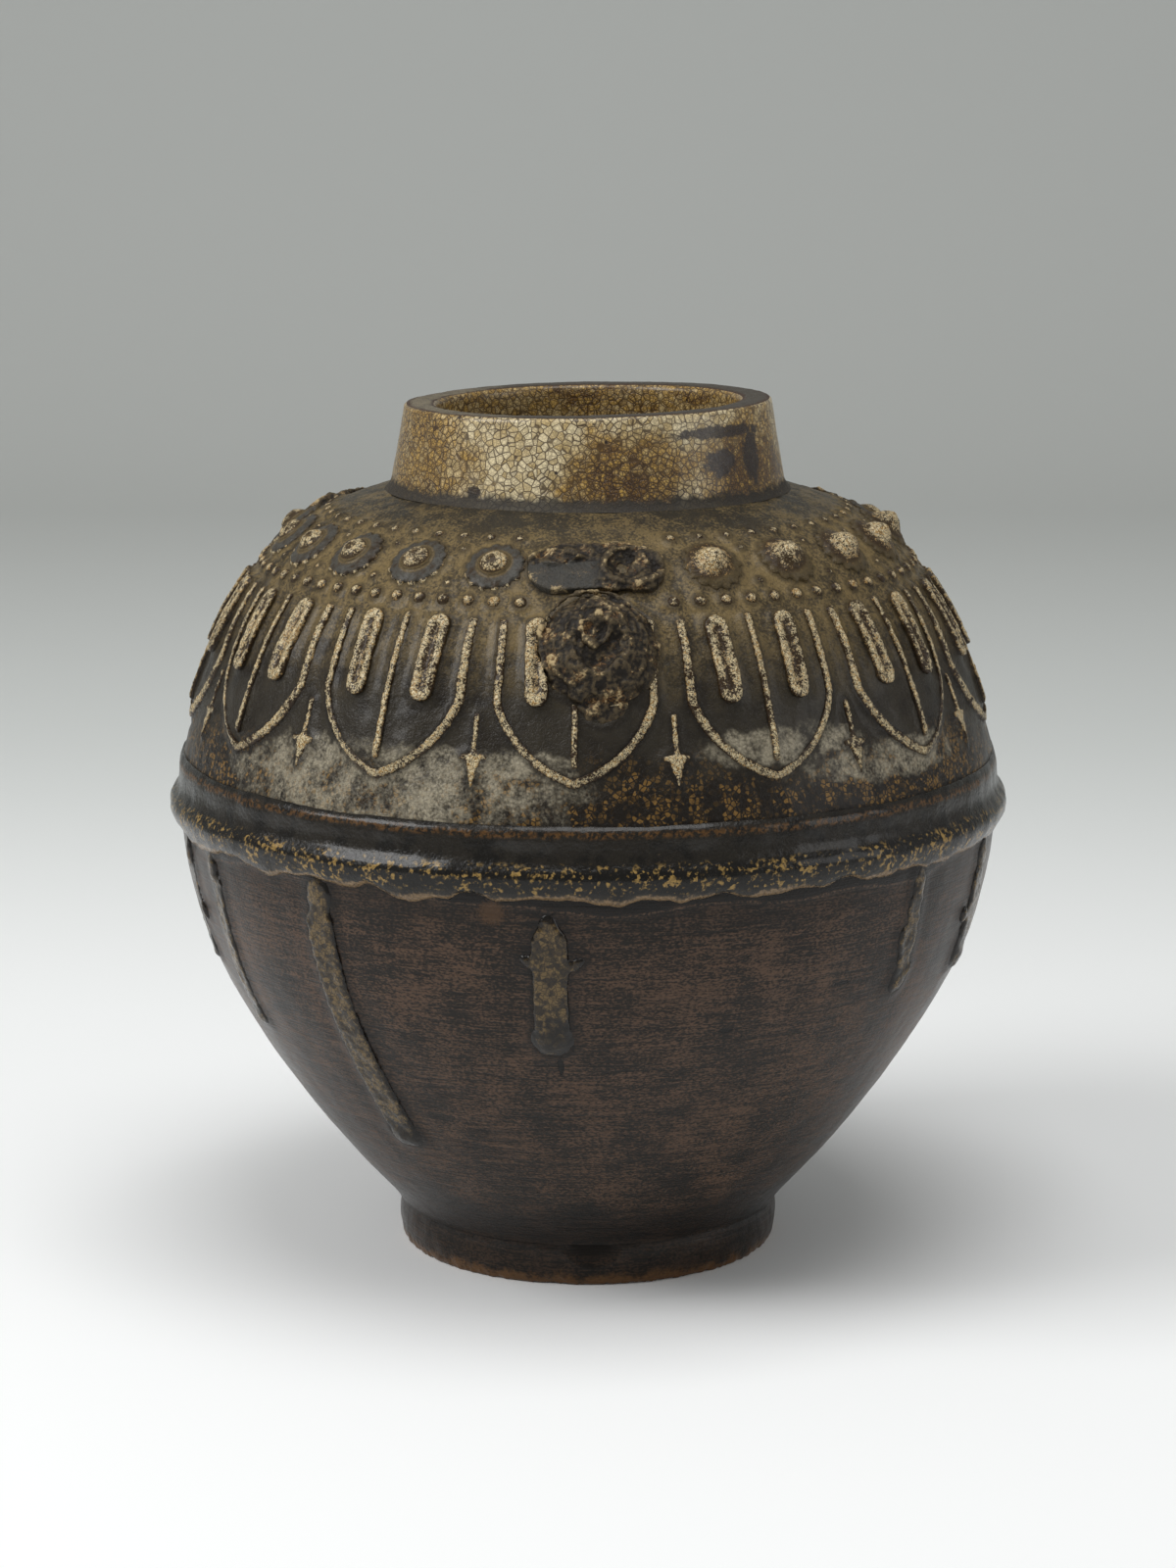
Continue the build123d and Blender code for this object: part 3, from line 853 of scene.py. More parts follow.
@dataclass(frozen=True)
class NeckGlaze:
    """Cream glaze with brown crazing, golden stains and chocolate patches."""

    cream: Colour = tone(188, 164, 112)
    pale: Colour = tone(226, 210, 170)
    gold: Colour = tone(176, 138, 56)
    amber: Colour = tone(96, 66, 24)
    line: Colour = tone(50, 32, 16)
    chocolate: Colour = tone(34, 23, 18)
    seat: Colour = tone(42, 38, 32)
    cell: float = 2.0
    left: Spot = (-68.0, 240.0, 30.0, 34.0)
    middle: Spot = (10.0, 236.0, 15.0, 14.0)
    right: Spot = (58.0, 237.0, 24.0, 16.0)
    rust: tuple[Spot, ...] = (
        (44.0, 248.6, 20.0, 1.7),
        (56.0, 241.0, 4.0, 8.0),
        (42.0, 240.0, 6.0, 3.6),
        (-34.0, 232.5, 2.4, 1.7),
        (150.0, 241.0, 12.0, 4.0),
        (-140.0, 246.0, 18.0, 2.5),
    )

    def material(self) -> Material:
        """Builds the material."""
        paint = Paint("neck_crackle_glaze")
        broad, fine = paint.noise(14.0, 4.0), paint.noise(1.3, 3.0, shift=3.0)
        tint, stain = paint.cells(self.cell), paint.noise(9.0, 5.0, shift=7.0)
        edge, inside = paint.noise(3.0, 3.0, shift=5.0), paint.radius.step(48.0, 45.5)
        back = stain.step(0.52, 0.66) * (paint.angle * paint.angle).step(5000.0, 9000.0)
        patches = paint.spot(self.left, stain, 0.6) * 0.66
        for oval in (self.middle, self.right):
            patches = patches.most(paint.spot(oval, stain, 0.7) * 1.15)
        patches = patches.most(back).most(inside * 0.55)
        amount = patches * (tint * 0.85 + edge * 0.8 + fine * 0.35 - 0.2)
        paint.colour = paint.mixed(self.cream, self.pale, (tint * 0.5 + broad * 0.7).step(0.3, 0.85))
        paint.lay(self.gold, amount.shaken(broad, 0.7).step(0.12, 0.62) * 0.9)
        paint.lay(self.amber, amount.step(0.6, 1.15) * 0.8)
        paint.lay(self.amber, paint.cracks(self.cell, 0.9) * (patches * 0.45 + 0.08))
        wide, thin = paint.cracks(self.cell, 0.24), paint.cracks(self.cell * 0.5, 0.2, 0.4)
        net = (wide * (broad * 0.8 + 0.45)).most(thin * (patches * 0.4 + edge * 0.7))
        paint.lay(self.line, net.least(0.92))
        specks = paint.pits(7.0, 0.1)
        rust = paint.spots(self.rust, edge) * (1.0 - inside) * 0.92
        paint.lay(self.chocolate, rust.most(specks))
        root = paint.height.shaken(edge, 5.0).step(232.6, 230.2)
        paint.lay(self.seat, root * 0.95)
        height = (1.0 - net) * 0.5 + broad * 0.5 - specks * 0.4
        return paint.finish(fine * 0.2 + root * 0.35 + 0.26, height, 0.25, (1.0 - root) * 0.25, 0.2, 0.42)


@dataclass(frozen=True)
class LipClay:
    """Rubbed flat lip, grey in the middle and red-brown at its edges."""

    grey: Colour = tone(64, 58, 49)
    worn: Colour = tone(116, 106, 86)
    edge: Colour = tone(58, 37, 25)
    line: Colour = tone(44, 36, 28)

    def material(self) -> Material:
        """Builds the material."""
        paint = Paint("rubbed_lip")
        lump, fine = paint.noise(7.0, 4.0), paint.noise(1.1, 3.0)
        side = paint.angle.band(-150.0, -20.0, 25.0)
        paint.colour = paint.mixed(self.grey, self.worn, (side * 0.5 + lump * 0.7).step(0.55, 1.0))
        outer = paint.radius.shaken(lump, 4.0).shaken(fine, 1.6).step(51.6, 53.0)
        inner = paint.radius.shaken(lump, 3.0).shaken(fine, 1.4).step(46.8, 45.6)
        paint.lay(self.edge, outer.most(inner) * 0.9)
        paint.lay(self.line, paint.cracks(2.4, 0.16) * 0.6)
        return paint.finish(fine * 0.15 + 0.5, fine + lump, 0.25, gloss=0.35)


@dataclass(frozen=True)
class ShoulderGlaze:
    """Olive-grey glaze that breaks cream over the relief, dusty in the recesses, clouded below, and
    darkened with painted shade at the foot of the relief.
    """

    olive: Colour = tone(50, 45, 36)
    dark: Colour = tone(24, 19, 14)
    dust: Colour = tone(126, 107, 70)
    seat: Colour = tone(46, 42, 34)
    cream: Colour = tone(212, 196, 158)
    fringe: Colour = tone(48, 33, 16)
    grey: Colour = tone(70, 69, 65)
    cloud: Colour = tone(160, 151, 130)
    gold: Colour = tone(146, 110, 54)
    brown: Colour = tone(22, 14, 6)
    clouds: tuple[Spot, ...] = (
        (-30.0, 158.0, 25.0, 12.0),
        (28.0, 170.0, 12.0, 5.0),
        (48.0, 162.0, 17.0, 5.0),
        (-8.0, 166.0, 7.0, 4.0),
        (112.0, 160.0, 20.0, 9.0),
        (-150.0, 162.0, 30.0, 9.0),
        (168.0, 158.0, 14.0, 7.0),
    )

    def ground(self, paint: Paint, lump: Value, fine: Value, rise: Value) -> None:
        """Paints the glaze between the relief: dusty above, olive on the petals, amber and clouds below.

        Args:
            paint: The material's builder.
            lump: Noise of a few millimetres.
            fine: Noise of about a millimetre.
            rise: How near the relief is.
        """
        broad, grain = paint.noise(22.0, 4.0), paint.noise(0.8, 3.0, shift=12.0)
        paint.colour = paint.mixed(self.dark, self.olive, (broad * 0.6 + lump * 0.5).step(0.3, 0.62))
        high = paint.height.shaken(lump, 16.0).step(178.0, 208.0)
        cover = (broad * 0.7 + lump * 0.8 + grain + rise * 0.15).step(1.1, 1.42)
        dusty = high * (cover * 0.8 + 0.2) * (1.0 - paint.kept(Mark.FIELD) * 0.6)
        paint.lay(self.dust, dusty * 0.95)
        neck = paint.height.shaken(lump, 5.0).step(221.0, 226.0)
        paint.lay(self.seat, neck * (0.95 - cover * 0.65))
        low = paint.height.shaken(broad, 22.0).shaken(lump, 8.0).step(170.0, 157.0)
        fleck = (paint.cells(1.3) * 0.55 + lump * 0.9).step(0.6, 1.0)
        amber = paint.mixed(self.brown, self.gold, fleck * 0.75)
        amber = paint.mixed(amber, self.dark, paint.cracks(1.3, 0.26).most(lump.step(0.5, 0.4) * 0.8))
        paint.lay(amber, low * 0.95)
        clouds = paint.spots(self.clouds, lump) * (lump * 0.9 + grain * 0.6).step(0.45, 0.85)
        clouds = clouds * (paint.noise(13.0, 4.0, shift=15.0) + fine * 0.4).step(0.5, 0.8)
        paint.lay(self.cloud, clouds * (grain * 0.6 + 0.6))

    def material(self) -> Material:
        """Builds the material."""
        paint = Paint("shoulder_glaze")
        rise, crest, disc = (paint.kept(mark) for mark in (Mark.RISE, Mark.CREST, Mark.DISC))
        lump, fine = paint.noise(6.0, 4.0, shift=2.0), paint.noise(1.4, 3.0, shift=5.0)
        speck, patch = paint.noise(0.5, 2.0, shift=9.0), paint.noise(11.0, 3.0, shift=4.0)
        self.ground(paint, lump, fine, rise)
        # Painted shade: the low flanks of each relief piece, and the shoulder just round it (its kept
        # skirt), are darkened.
        paint.lay(self.dark, rise.band(0.55, 2.0, 0.3).most(crest.band(0.05, 0.42, 0.1)) * 0.6)
        side = paint.mixed(self.fringe, self.grey, disc * (fine * 0.6 + lump * 0.6).step(0.4, 0.7))
        paint.lay(side, (crest.step(0.34, 0.62) * 0.9).most(disc * 0.9))
        worn = crest.shaken(speck, 1.5).shaken(fine, 1.3).shaken(patch, 1.3).step(0.76, 1.02)
        amber = (speck * 1.2 + fine * 0.6 + patch * 0.6).step(1.22, 1.4)
        top = paint.mixed(self.cream, self.gold, amber * 0.9)
        paint.lay(top, worn * (paint.height.step(150.0, 172.0) * 0.35 + 0.6))
        net = paint.cracks(1.4, 0.14) * (worn * 0.35 + 0.25)
        paint.lay(self.dark, net)
        height = lump * 0.7 + fine * 0.6 + speck * 0.3 - net * 0.3
        dull = paint.height.step(196.0, 212.0)
        return paint.finish(fine * 0.16 + dull * 0.2 + 0.24, height, 0.5, 0.1, 0.13, 0.19)


@dataclass(frozen=True)
class GirdleGlaze:
    """Satin grey cove over a roll mottled black and yellow, with a thin pale lower edge."""

    grey: Colour = tone(34, 30, 24)
    black: Colour = tone(13, 11, 8)
    yellow: Colour = tone(158, 128, 72)
    pale: Colour = tone(140, 115, 84)
    amber: Colour = tone(96, 66, 32)

    def material(self) -> Material:
        """Builds the material."""
        paint = Paint("girdle_glaze")
        lump, fine = paint.noise(6.0, 4.0), paint.noise(1.2, 3.0, shift=4.0)
        roll = paint.height.shaken(lump, 3.0).band(132.5, 140.6, 0.9)
        paint.colour = paint.mixed(self.grey, self.black, lump.step(0.45, 0.62) * 0.8)
        mottle = (fine * 0.7 + paint.cells(1.1) * 0.35 + lump * 0.6).step(0.89, 1.06)
        paint.lay(self.black, roll * 0.85)
        paint.lay(self.yellow, roll * mottle * 0.85)
        wave = paint.noise(18.0, 3.0, shift=6.0)
        lip = paint.kept(Mark.LIP).shaken(fine, 1.0).shaken(wave, 1.6).step(0.35, 0.75)
        paint.lay(self.pale, lip * (fine * 0.8 + 0.3))
        top = paint.height.shaken(lump, 2.0).band(147.6, 149.4, 0.6)
        paint.lay(self.amber, top * fine.step(0.42, 0.6) * 0.8)
        paint.lay(self.black, paint.cracks(1.6, 0.14) * 0.4)
        return paint.finish(fine * 0.14 + 0.2, lump + fine * 0.6, 0.4, 0.22, 0.12, 0.22)


@dataclass(frozen=True)
class BrushedGlaze:
    """Brown-black glaze with fine level brush streaks under a glossy apron, with painted shade beside the
    runs.
    """

    dark: Colour = tone(24, 19, 14)
    streak: Colour = tone(86, 65, 50)
    black: Colour = tone(13, 10, 8)
    edge: Colour = tone(128, 100, 78)
    bare: Colour = tone(110, 78, 46)
    broken: Colour = tone(24, 18, 12)
    sand: Colour = tone(84, 60, 38)
    hole: Spot = (-12.5, 126.5, 1.7, 3.4)
    nicks: tuple[Spot, ...] = ((-4.0, 80.0, 0.5, 2.6), (20.0, 90.0, 1.2, 0.7), (38.0, 100.0, 1.6, 0.6))

    def material(self) -> Material:
        """Builds the material."""
        paint = Paint("brushed_dark_glaze")
        apron, chip = paint.kept(Mark.APRON), paint.kept(Mark.CHIP)
        hair = paint.noise(0.5, 3.0, (0.05, 0.05, 1.0), bend=0.2)
        strand = paint.noise(1.5, 4.0, (0.1, 0.1, 1.0), shift=3.0)
        broad, lump = paint.noise(34.0, 4.0, shift=6.0), paint.noise(7.0, 4.0, shift=8.0)
        patch = paint.noise(15.0, 5.0, (1.0, 1.0, 0.6), shift=11.0)
        fine, grain = paint.noise(0.8, 3.0, shift=1.0), paint.noise(0.5, 2.0, (0.5, 0.5, 1.0), shift=2.0)
        amount = (hair * 0.7 + strand * 0.4 + patch * 0.7 + grain * 1.3).step(1.4, 1.84)
        middle = paint.height.band(22.0, 124.0, 9.0) * 0.6 + 0.4
        paint.colour = paint.mixed(self.dark, self.streak, amount * middle)
        paint.lay(self.black, (broad * 0.6 + strand * 0.5).step(0.56, 0.44) * 0.45)
        paint.lay(self.black, apron * 0.85)
        paint.lay(self.edge, apron.band(0.25, 0.6, 0.15) * fine.step(0.44, 0.6) * 0.35)
        root = paint.height.shaken(lump, 8.0).band(11.0, 26.0, 4.0) * 0.5
        # Darker band just above the foot; beside the runs, the kept skirt paints shade along their edges.
        paint.lay(self.black, root.most(paint.kept(Mark.RISE) * 0.8))
        heel = paint.height.shaken(lump, 11.0).shaken(fine, 5.0).step(4.2, 0.6)
        paint.lay(self.bare, heel * 0.7)
        paint.lay(self.broken, chip * (fine + 0.4).least(1.0))
        hole = paint.spot(self.hole, fine, 0.4)
        paint.lay(self.sand, hole * 0.6)
        nicks = paint.spots(self.nicks, fine).most(paint.pits(5.0, 0.08))
        paint.lay(self.black, nicks)
        height = hair * 0.6 + strand * 0.6 + lump * 0.5 + fine * 0.3 - nicks * 0.6 - hole * 0.6
        rough = fine * 0.12 + amount * 0.1 - apron * 0.06 + chip * 0.3 + 0.24
        return paint.finish(rough, height, 0.35, 0.14, 0.1, 0.18)


@dataclass(frozen=True)
class RunGlaze:
    """Thick runs of amber and olive glaze, darker in the drop, with painted shade along their sides."""

    olive: Colour = tone(46, 37, 24)
    amber: Colour = tone(108, 88, 54)
    dark: Colour = tone(18, 14, 10)

    def material(self) -> Material:
        """Builds the material."""
        paint = Paint("glaze_run")
        fine, lump = paint.noise(1.3, 3.0), paint.noise(4.0, 3.0, shift=2.0)
        core = paint.kept(Mark.CREST).shaken(fine, 0.6).shaken(lump, 0.8).step(0.5, 0.95)
        # Where the crest is low, at a run's sides, the dark colour is painted shade.
        paint.colour = paint.mixed(self.dark, self.olive, core)
        mottle = (fine * 0.8 + paint.cells(1.7) * 0.4 + lump * 0.6).step(0.78, 1.1)
        paint.lay(self.amber, core * mottle * 0.85)
        drop = paint.kept(Mark.RISE).step(1.5, 2.0) * 0.85
        paint.lay(self.dark, drop.most(paint.cracks(1.5, 0.2) * 0.6))
        return paint.finish(fine * 0.12 + 0.18, lump + fine * 0.5, 0.35, 0.22, 0.1, 0.24)


@dataclass(frozen=True)
class BrokenClay:
    """Rough grey-brown clay of a broken root, pale on its crumbs, glazed in part, with painted shade in its
    hollows.
    """

    clay: Colour = tone(78, 66, 46)
    pit: Colour = tone(28, 22, 15)
    ridge: Colour = tone(186, 164, 122)
    rust: Colour = tone(118, 82, 40)
    glaze: Colour = tone(56, 55, 51)

    def material(self) -> Material:
        """Builds the material."""
        paint = Paint("broken_clay")
        crest, glazed = paint.kept(Mark.CREST), paint.kept(Mark.DISC)
        fine, lump = paint.noise(1.2, 4.0), paint.noise(4.5, 4.0, shift=3.0)
        speck = paint.noise(0.6, 3.0, shift=6.0)
        # Where the clay sits below its smoothed self (low crest), it is painted dark: painted shade in the
        # hollows.
        bare = (crest * 1.4 + fine * 0.7 + lump * 0.6).step(0.5, 0.9)
        paint.colour = paint.mixed(self.pit, self.clay, bare)
        paint.lay(self.rust, (lump * 0.8 + speck * 0.4).step(0.64, 0.78) * 0.7)
        paint.lay(self.glaze, glazed * 0.85)
        pale = (crest * 1.7).shaken(speck, 1.3).shaken(lump, 3.4)
        paint.lay(self.ridge, pale.step(0.36, 0.9) * (0.85 - glazed * 0.1))
        rough = fine * 0.2 - glazed * 0.2 + 0.46
        return paint.finish(rough, fine + lump + speck * 0.5, 0.6, 0.06, 0.3, 0.22)


@dataclass(frozen=True)
class Paper:
    """Studio paper that is white in front, painted grey further back as the light falls off."""

    near: Colour = tone(248, 249, 249)
    further: tuple[Colour, ...] = (tone(222, 225, 223), tone(210, 212, 209), tone(200, 203, 201))
    reaches: tuple[Point, ...] = ((0.05, 0.9), (0.45, 1.9), (1.6, 4.4))

    def material(self) -> Material:
        """Builds the material."""
        paint = Paint("studio_paper")
        far = paint.back + paint.height * MM
        paint.colour = self.near
        # The greys are painted shade: the paper darkens with distance back and up the backdrop.
        for colour, reach in zip(self.further, self.reaches):
            paint.lay(colour, far.step(*reach))
        return paint.finish(0.9, gloss=0.0)


@dataclass(frozen=True)
class Finishes:
    """All the finishes of the jar, made once."""

    neck: Material
    lip: Material
    shoulder: Material
    girdle: Material
    brushed: Material
    run: Material
    broken: Material

    @classmethod
    def made(cls) -> Finishes:
        """Builds every finish."""
        glazes = (NeckGlaze, LipClay, ShoulderGlaze, GirdleGlaze, BrushedGlaze, RunGlaze, BrokenClay)
        return cls(*(glaze().material() for glaze in glazes))


# Sub-assemblies

@dataclass
class SubAssembly:
    """What every group of pieces knows: the solids, the jar's shape and the finishes."""

    nodes: dict[str, Piece]
    finishes: Finishes
    shape: Shape = Shape()
    pieces: list[Piece] = field(default_factory=list)

    def dress(self, piece: Piece, materials: Sequence[Material], slot: str, *nodes: str) -> None:
        """Gives a piece its finish and hides the solids that it stands for.

        Args:
            piece: The piece.
            materials: Its materials, the main one first.
            slot: Not used.
            nodes: The solids that it replaces.
        """
        for material in materials:
            piece.data.materials.append(material)
        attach(piece, "root")
        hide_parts(*nodes)
        self.pieces.append(piece)
        LOG.info("%s: %d faces", piece.name, len(piece.data.polygons))


@dataclass
class LowerHalf(SubAssembly):
    """Thrown lower bowl and its foot ring. Lengths are in metres, and those of the apron in millimetres."""

    steps: int = 480
    row: float = 0.0014
    inner_rows: int = 24
    floor_rows: int = 6
    overlap: float = 0.0008
    skirt: float = 0.0036
    skirt_height: float = 0.0006
    heel_flare: float = 0.0010
    flare_height: float = 0.006
    apron_depth: float = 0.0006
    apron_drop: float = 9.0
    apron_swing: float = 1.7
    apron_edge: float = 1.6
    apron_waves: tuple[Size, ...] = ((1.0, 3.0, 0.6), (0.7, 7.0, 2.0), (0.5, 16.0, 0.4))
    noise: tuple[Point, ...] = ((30.0, 0.7), (4.0, 0.25))
    foot_voxel: float = 0.7
    foot_rounds: int = 3
    foot_noise: Point = (5.0, 0.5)
    worn_height: float = 4.0
    worn_noise: Point = (2.5, 0.9)
    chip_start: float = 0.7
    chip_reach: float = 7.0
    chip_top: float = 12.6

    def build(self, runs: Sequence[Piece]) -> None:
        """Builds the bowl and the foot.

        Args:
            runs: The pieces that stand on the bowl.
        """
        self.build_bowl(runs)
        self.build_foot()

    def outline(self, wall: Wall) -> list[Point]:
        """Draws the bowl's profile: down the outside, in under the base and up the inside."""
        shape, count = self.shape, int(wall.lengths[-1] / self.row)
        points = []
        for i in range(count + 1):
            radius, height = wall.at(i / count)
            flare = max(0.0, 1 - (height - shape.foot_height) / self.flare_height)
            points.append((radius + self.heel_flare * flare**2, height))
        points.append((points[-1][0], shape.foot_height - self.overlap))
        hollow, recess = shape.heel_radius - shape.foot_wall, shape.foot_height - shape.base_drop
        inner = [wall.at(i / self.inner_rows, -shape.wall) for i in range(self.inner_rows + 1)]
        points.append((hollow, shape.foot_height))
        points += [(hollow * i / self.floor_rows, recess) for i in range(self.floor_rows, -1, -1)]
        points += [(inner[-1][0] * i / self.floor_rows, inner[-1][1]) for i in range(self.floor_rows)]
        return points + inner[::-1]

    def build_bowl(self, runs: Sequence[Piece]) -> None:
        """Spins the bowl with its throwing ripples, drawn up a little round the runs."""
        wall = self.shape.lower_wall()
        piece = Bench.spun("lower_body_glazed", self.outline(wall), self.steps)
        apron = self.apron(Bench.places(piece), wall)
        Bench.raised(piece, "thick", apron, NORMAL=self.apron_depth)
        Bench.roughened(piece, *self.noise)
        skirt = Bench.skirt(piece, wall, runs, self.skirt)
        Bench.raised(piece, "skirt", skirt, NORMAL=self.skirt_height)
        # The skirt round the runs is kept as rise, which the finish uses to paint shade beside them.
        Bench.marked(piece, {Mark.APRON: apron, Mark.RISE: skirt, Mark.CHIP: skirt * 0})
        Bench.smooth(piece, 50)
        self.dress(piece, [self.finishes.brushed], "dark_glaze", "lower_body")

    def apron(self, places: np.ndarray, wall: Wall) -> np.ndarray:
        """Gives how thick the glaze that ran under the girdle is at each place, from 0 to 1."""
        wave = sum(high * np.sin(count * angles(places) + start) for high, count, start in self.apron_waves)
        edge = self.shape.seam_height - (self.apron_drop + self.apron_swing * wave) * MM
        inside = np.clip((places[:, 2] - edge) / (self.apron_edge * MM) + 0.5, 0, 1)
        return np.where(wall.rise(places) > INSIDE, eased(inside), 0.0)

    def build_foot(self) -> None:
        """Softens and roughens the foot ring and marks its chips."""
        shape = self.shape
        piece = Bench.copied("foot_ring_worn", self.nodes["foot_ring"])
        Bench.softened(piece, self.foot_voxel, self.foot_rounds)
        worn = 1 - Bench.places(piece)[:, 2] / (self.worn_height * MM)
        Bench.weighted(piece, "edge", np.clip(worn, 0, 1))
        Bench.roughened(piece, self.foot_noise)
        Bench.roughened(piece, self.worn_noise, vertex_group="edge")
        radius, height = Wall.flat(Bench.places(piece)).T
        sound = shape.heel_radius + (shape.foot_radius - shape.heel_radius) * height / shape.foot_height
        missing = np.clip((sound - radius) / MM - self.chip_start, 0, 1)
        missing = missing * (radius > sound - self.chip_reach * MM) * (height < self.chip_top * MM)
        Bench.marked(piece, {Mark.APRON: missing * 0, Mark.RISE: missing * 0, Mark.CHIP: missing})
        Bench.smooth(piece)
        self.dress(piece, [self.finishes.brushed], "dark_glaze", "foot_ring")


@dataclass
class Girdle(SubAssembly):
    """Coil over the seam. Its profile runs out from the wall and up from its lower edge, in millimetres."""

    steps: int = 520
    low: float = 0.1315
    edge: float = 2.4
    lip: Curve = ((0.24, 1.44), (1.0, 0.0))
    noise: tuple[Point, ...] = ((34.0, 1.5), (6.0, 0.7))
    edge_noise: Point = (14.0, 7.0)
    edge_level: float = 0.58
    profile: tuple[Point, ...] = (
        (-2.0, 1.0),
        (-0.3, -0.2),
        (0.8, 0.0),
        (1.7, 0.7),
        (2.5, 1.7),
        (3.1, 2.9),
        (3.4, 4.2),
        (3.4, 5.6),
        (3.1, 6.9),
        (2.5, 8.0),
        (1.7, 9.0),
        (1.1, 10.2),
        (0.75, 11.6),
        (0.6, 13.2),
        (0.5, 15.0),
        (0.3, 17.0),
        (-0.6, 19.4),
        (-3.0, 19.0),
    )

    def build(self) -> None:
        """Spins the coil and lets its lower edge run."""
        outline = [(self.shape.body_radius + out * MM, self.low + up * MM) for out, up in self.profile]
        piece = Bench.spun("girdle_band_glazed", outline, self.steps)
        height = (Bench.places(piece)[:, 2] - self.low) / MM
        Bench.weighted(piece, "edge", np.clip(1 - height / self.edge, 0, 1))
        Bench.marked(piece, {Mark.LIP: np.interp(height, *self.lip)})
        Bench.roughened(piece, *self.noise)
        ways = {"direction": "Z", "mid_level": self.edge_level, "vertex_group": "edge"}
        Bench.roughened(piece, self.edge_noise, detail=2, **ways)
        Bench.smooth(piece)
        self.dress(piece, [self.finishes.girdle], "grey_glaze", "girdle_band")


@dataclass
class Neck(SubAssembly):
    """Thick neck with a flat lip that leans a little. Edges run out and up, in millimetres."""

    steps: int = 320
    rows: int = 22
    inner_rows: int = 10
    inner_row: float = 2.4
    flat_depth: float = 3.0
    flat_slope: float = 0.8
    noise: tuple[Point, ...] = ((16.0, 0.7), (3.0, 0.18))
    root_edge: tuple[Point, ...] = ((0.0, 0.0), (-0.9, 0.9))
    wall_edge: tuple[Point, ...] = ((-0.2, 2.6), (-0.4, 3.5))
    lip_edge: tuple[Point, ...] = ((-0.05, -1.6), (-0.25, -0.7), (-0.9, -0.15), (-2.0, 0.0))
    mouth_edge: tuple[Point, ...] = ((5.0, 0.1), (2.4, 0.0), (0.9, -0.3), (0.2, -1.1))

    @staticmethod
    def beside(radius: float, height: float, edge: Sequence[Point]) -> list[Point]:
        """Draws an edge that runs out and up from a corner, in millimetres."""
        return [(radius + out * MM, height + up * MM) for out, up in edge]

    def outline(self) -> list[Point]:
        """Draws the neck's profile: up the outside, over the lip and down the inside."""
        shape = self.shape
        top, mouth = shape.height, shape.mouth_radius
        root = top - shape.neck_height
        points = [(mouth, root), *self.beside(shape.neck_root_radius, root, self.root_edge)]
        points += self.beside(shape.neck_wall_radius, root, self.wall_edge)
        low, (high, *lip) = points.pop(), self.beside(shape.lip_radius, top, self.lip_edge)
        for i in range(self.rows + 1):
            share = i / self.rows
            points.append((low[0] + (high[0] - low[0]) * share, low[1] + (high[1] - low[1]) * share))
        points += lip + self.beside(mouth, top, self.mouth_edge)
        return points + [(mouth, top - 2 * MM - i * self.inner_row * MM) for i in range(self.inner_rows)]

    def build(self) -> None:
        """Spins the neck, tilts its lip and dresses both."""
        shape = self.shape
        piece = Bench.spun("neck_collar_glazed", self.outline(), self.steps)
        places = Bench.places(piece)
        lean = np.clip((places[:, 2] - shape.height + shape.neck_height) / shape.neck_height, 0, 1)
        for group, way in (("right", 1), ("left", -1)):
            weights = lean * np.clip(way * places[:, 0] / shape.lip_radius, 0, 1)
            Bench.raised(piece, group, weights, Z=way * shape.rim_tilt * shape.lip_radius)
        Bench.roughened(piece, *self.noise)
        Bench.smooth(piece, 60)
        self.dress(piece, [self.finishes.neck, self.finishes.lip], "crackle_glaze", "neck_collar")
        low = shape.height - self.flat_depth * MM
        for polygon in piece.data.polygons:
            polygon.material_index = int(polygon.normal.z > self.flat_slope and polygon.center.z > low)


@dataclass(frozen=True)
class Grain:
    """How a relief piece is softened: voxel, rounds of smoothing, depths of its noise. In mm."""

    voxel: float
    rounds: int
    lumps: float
    crumbs: float
    even: int = 6


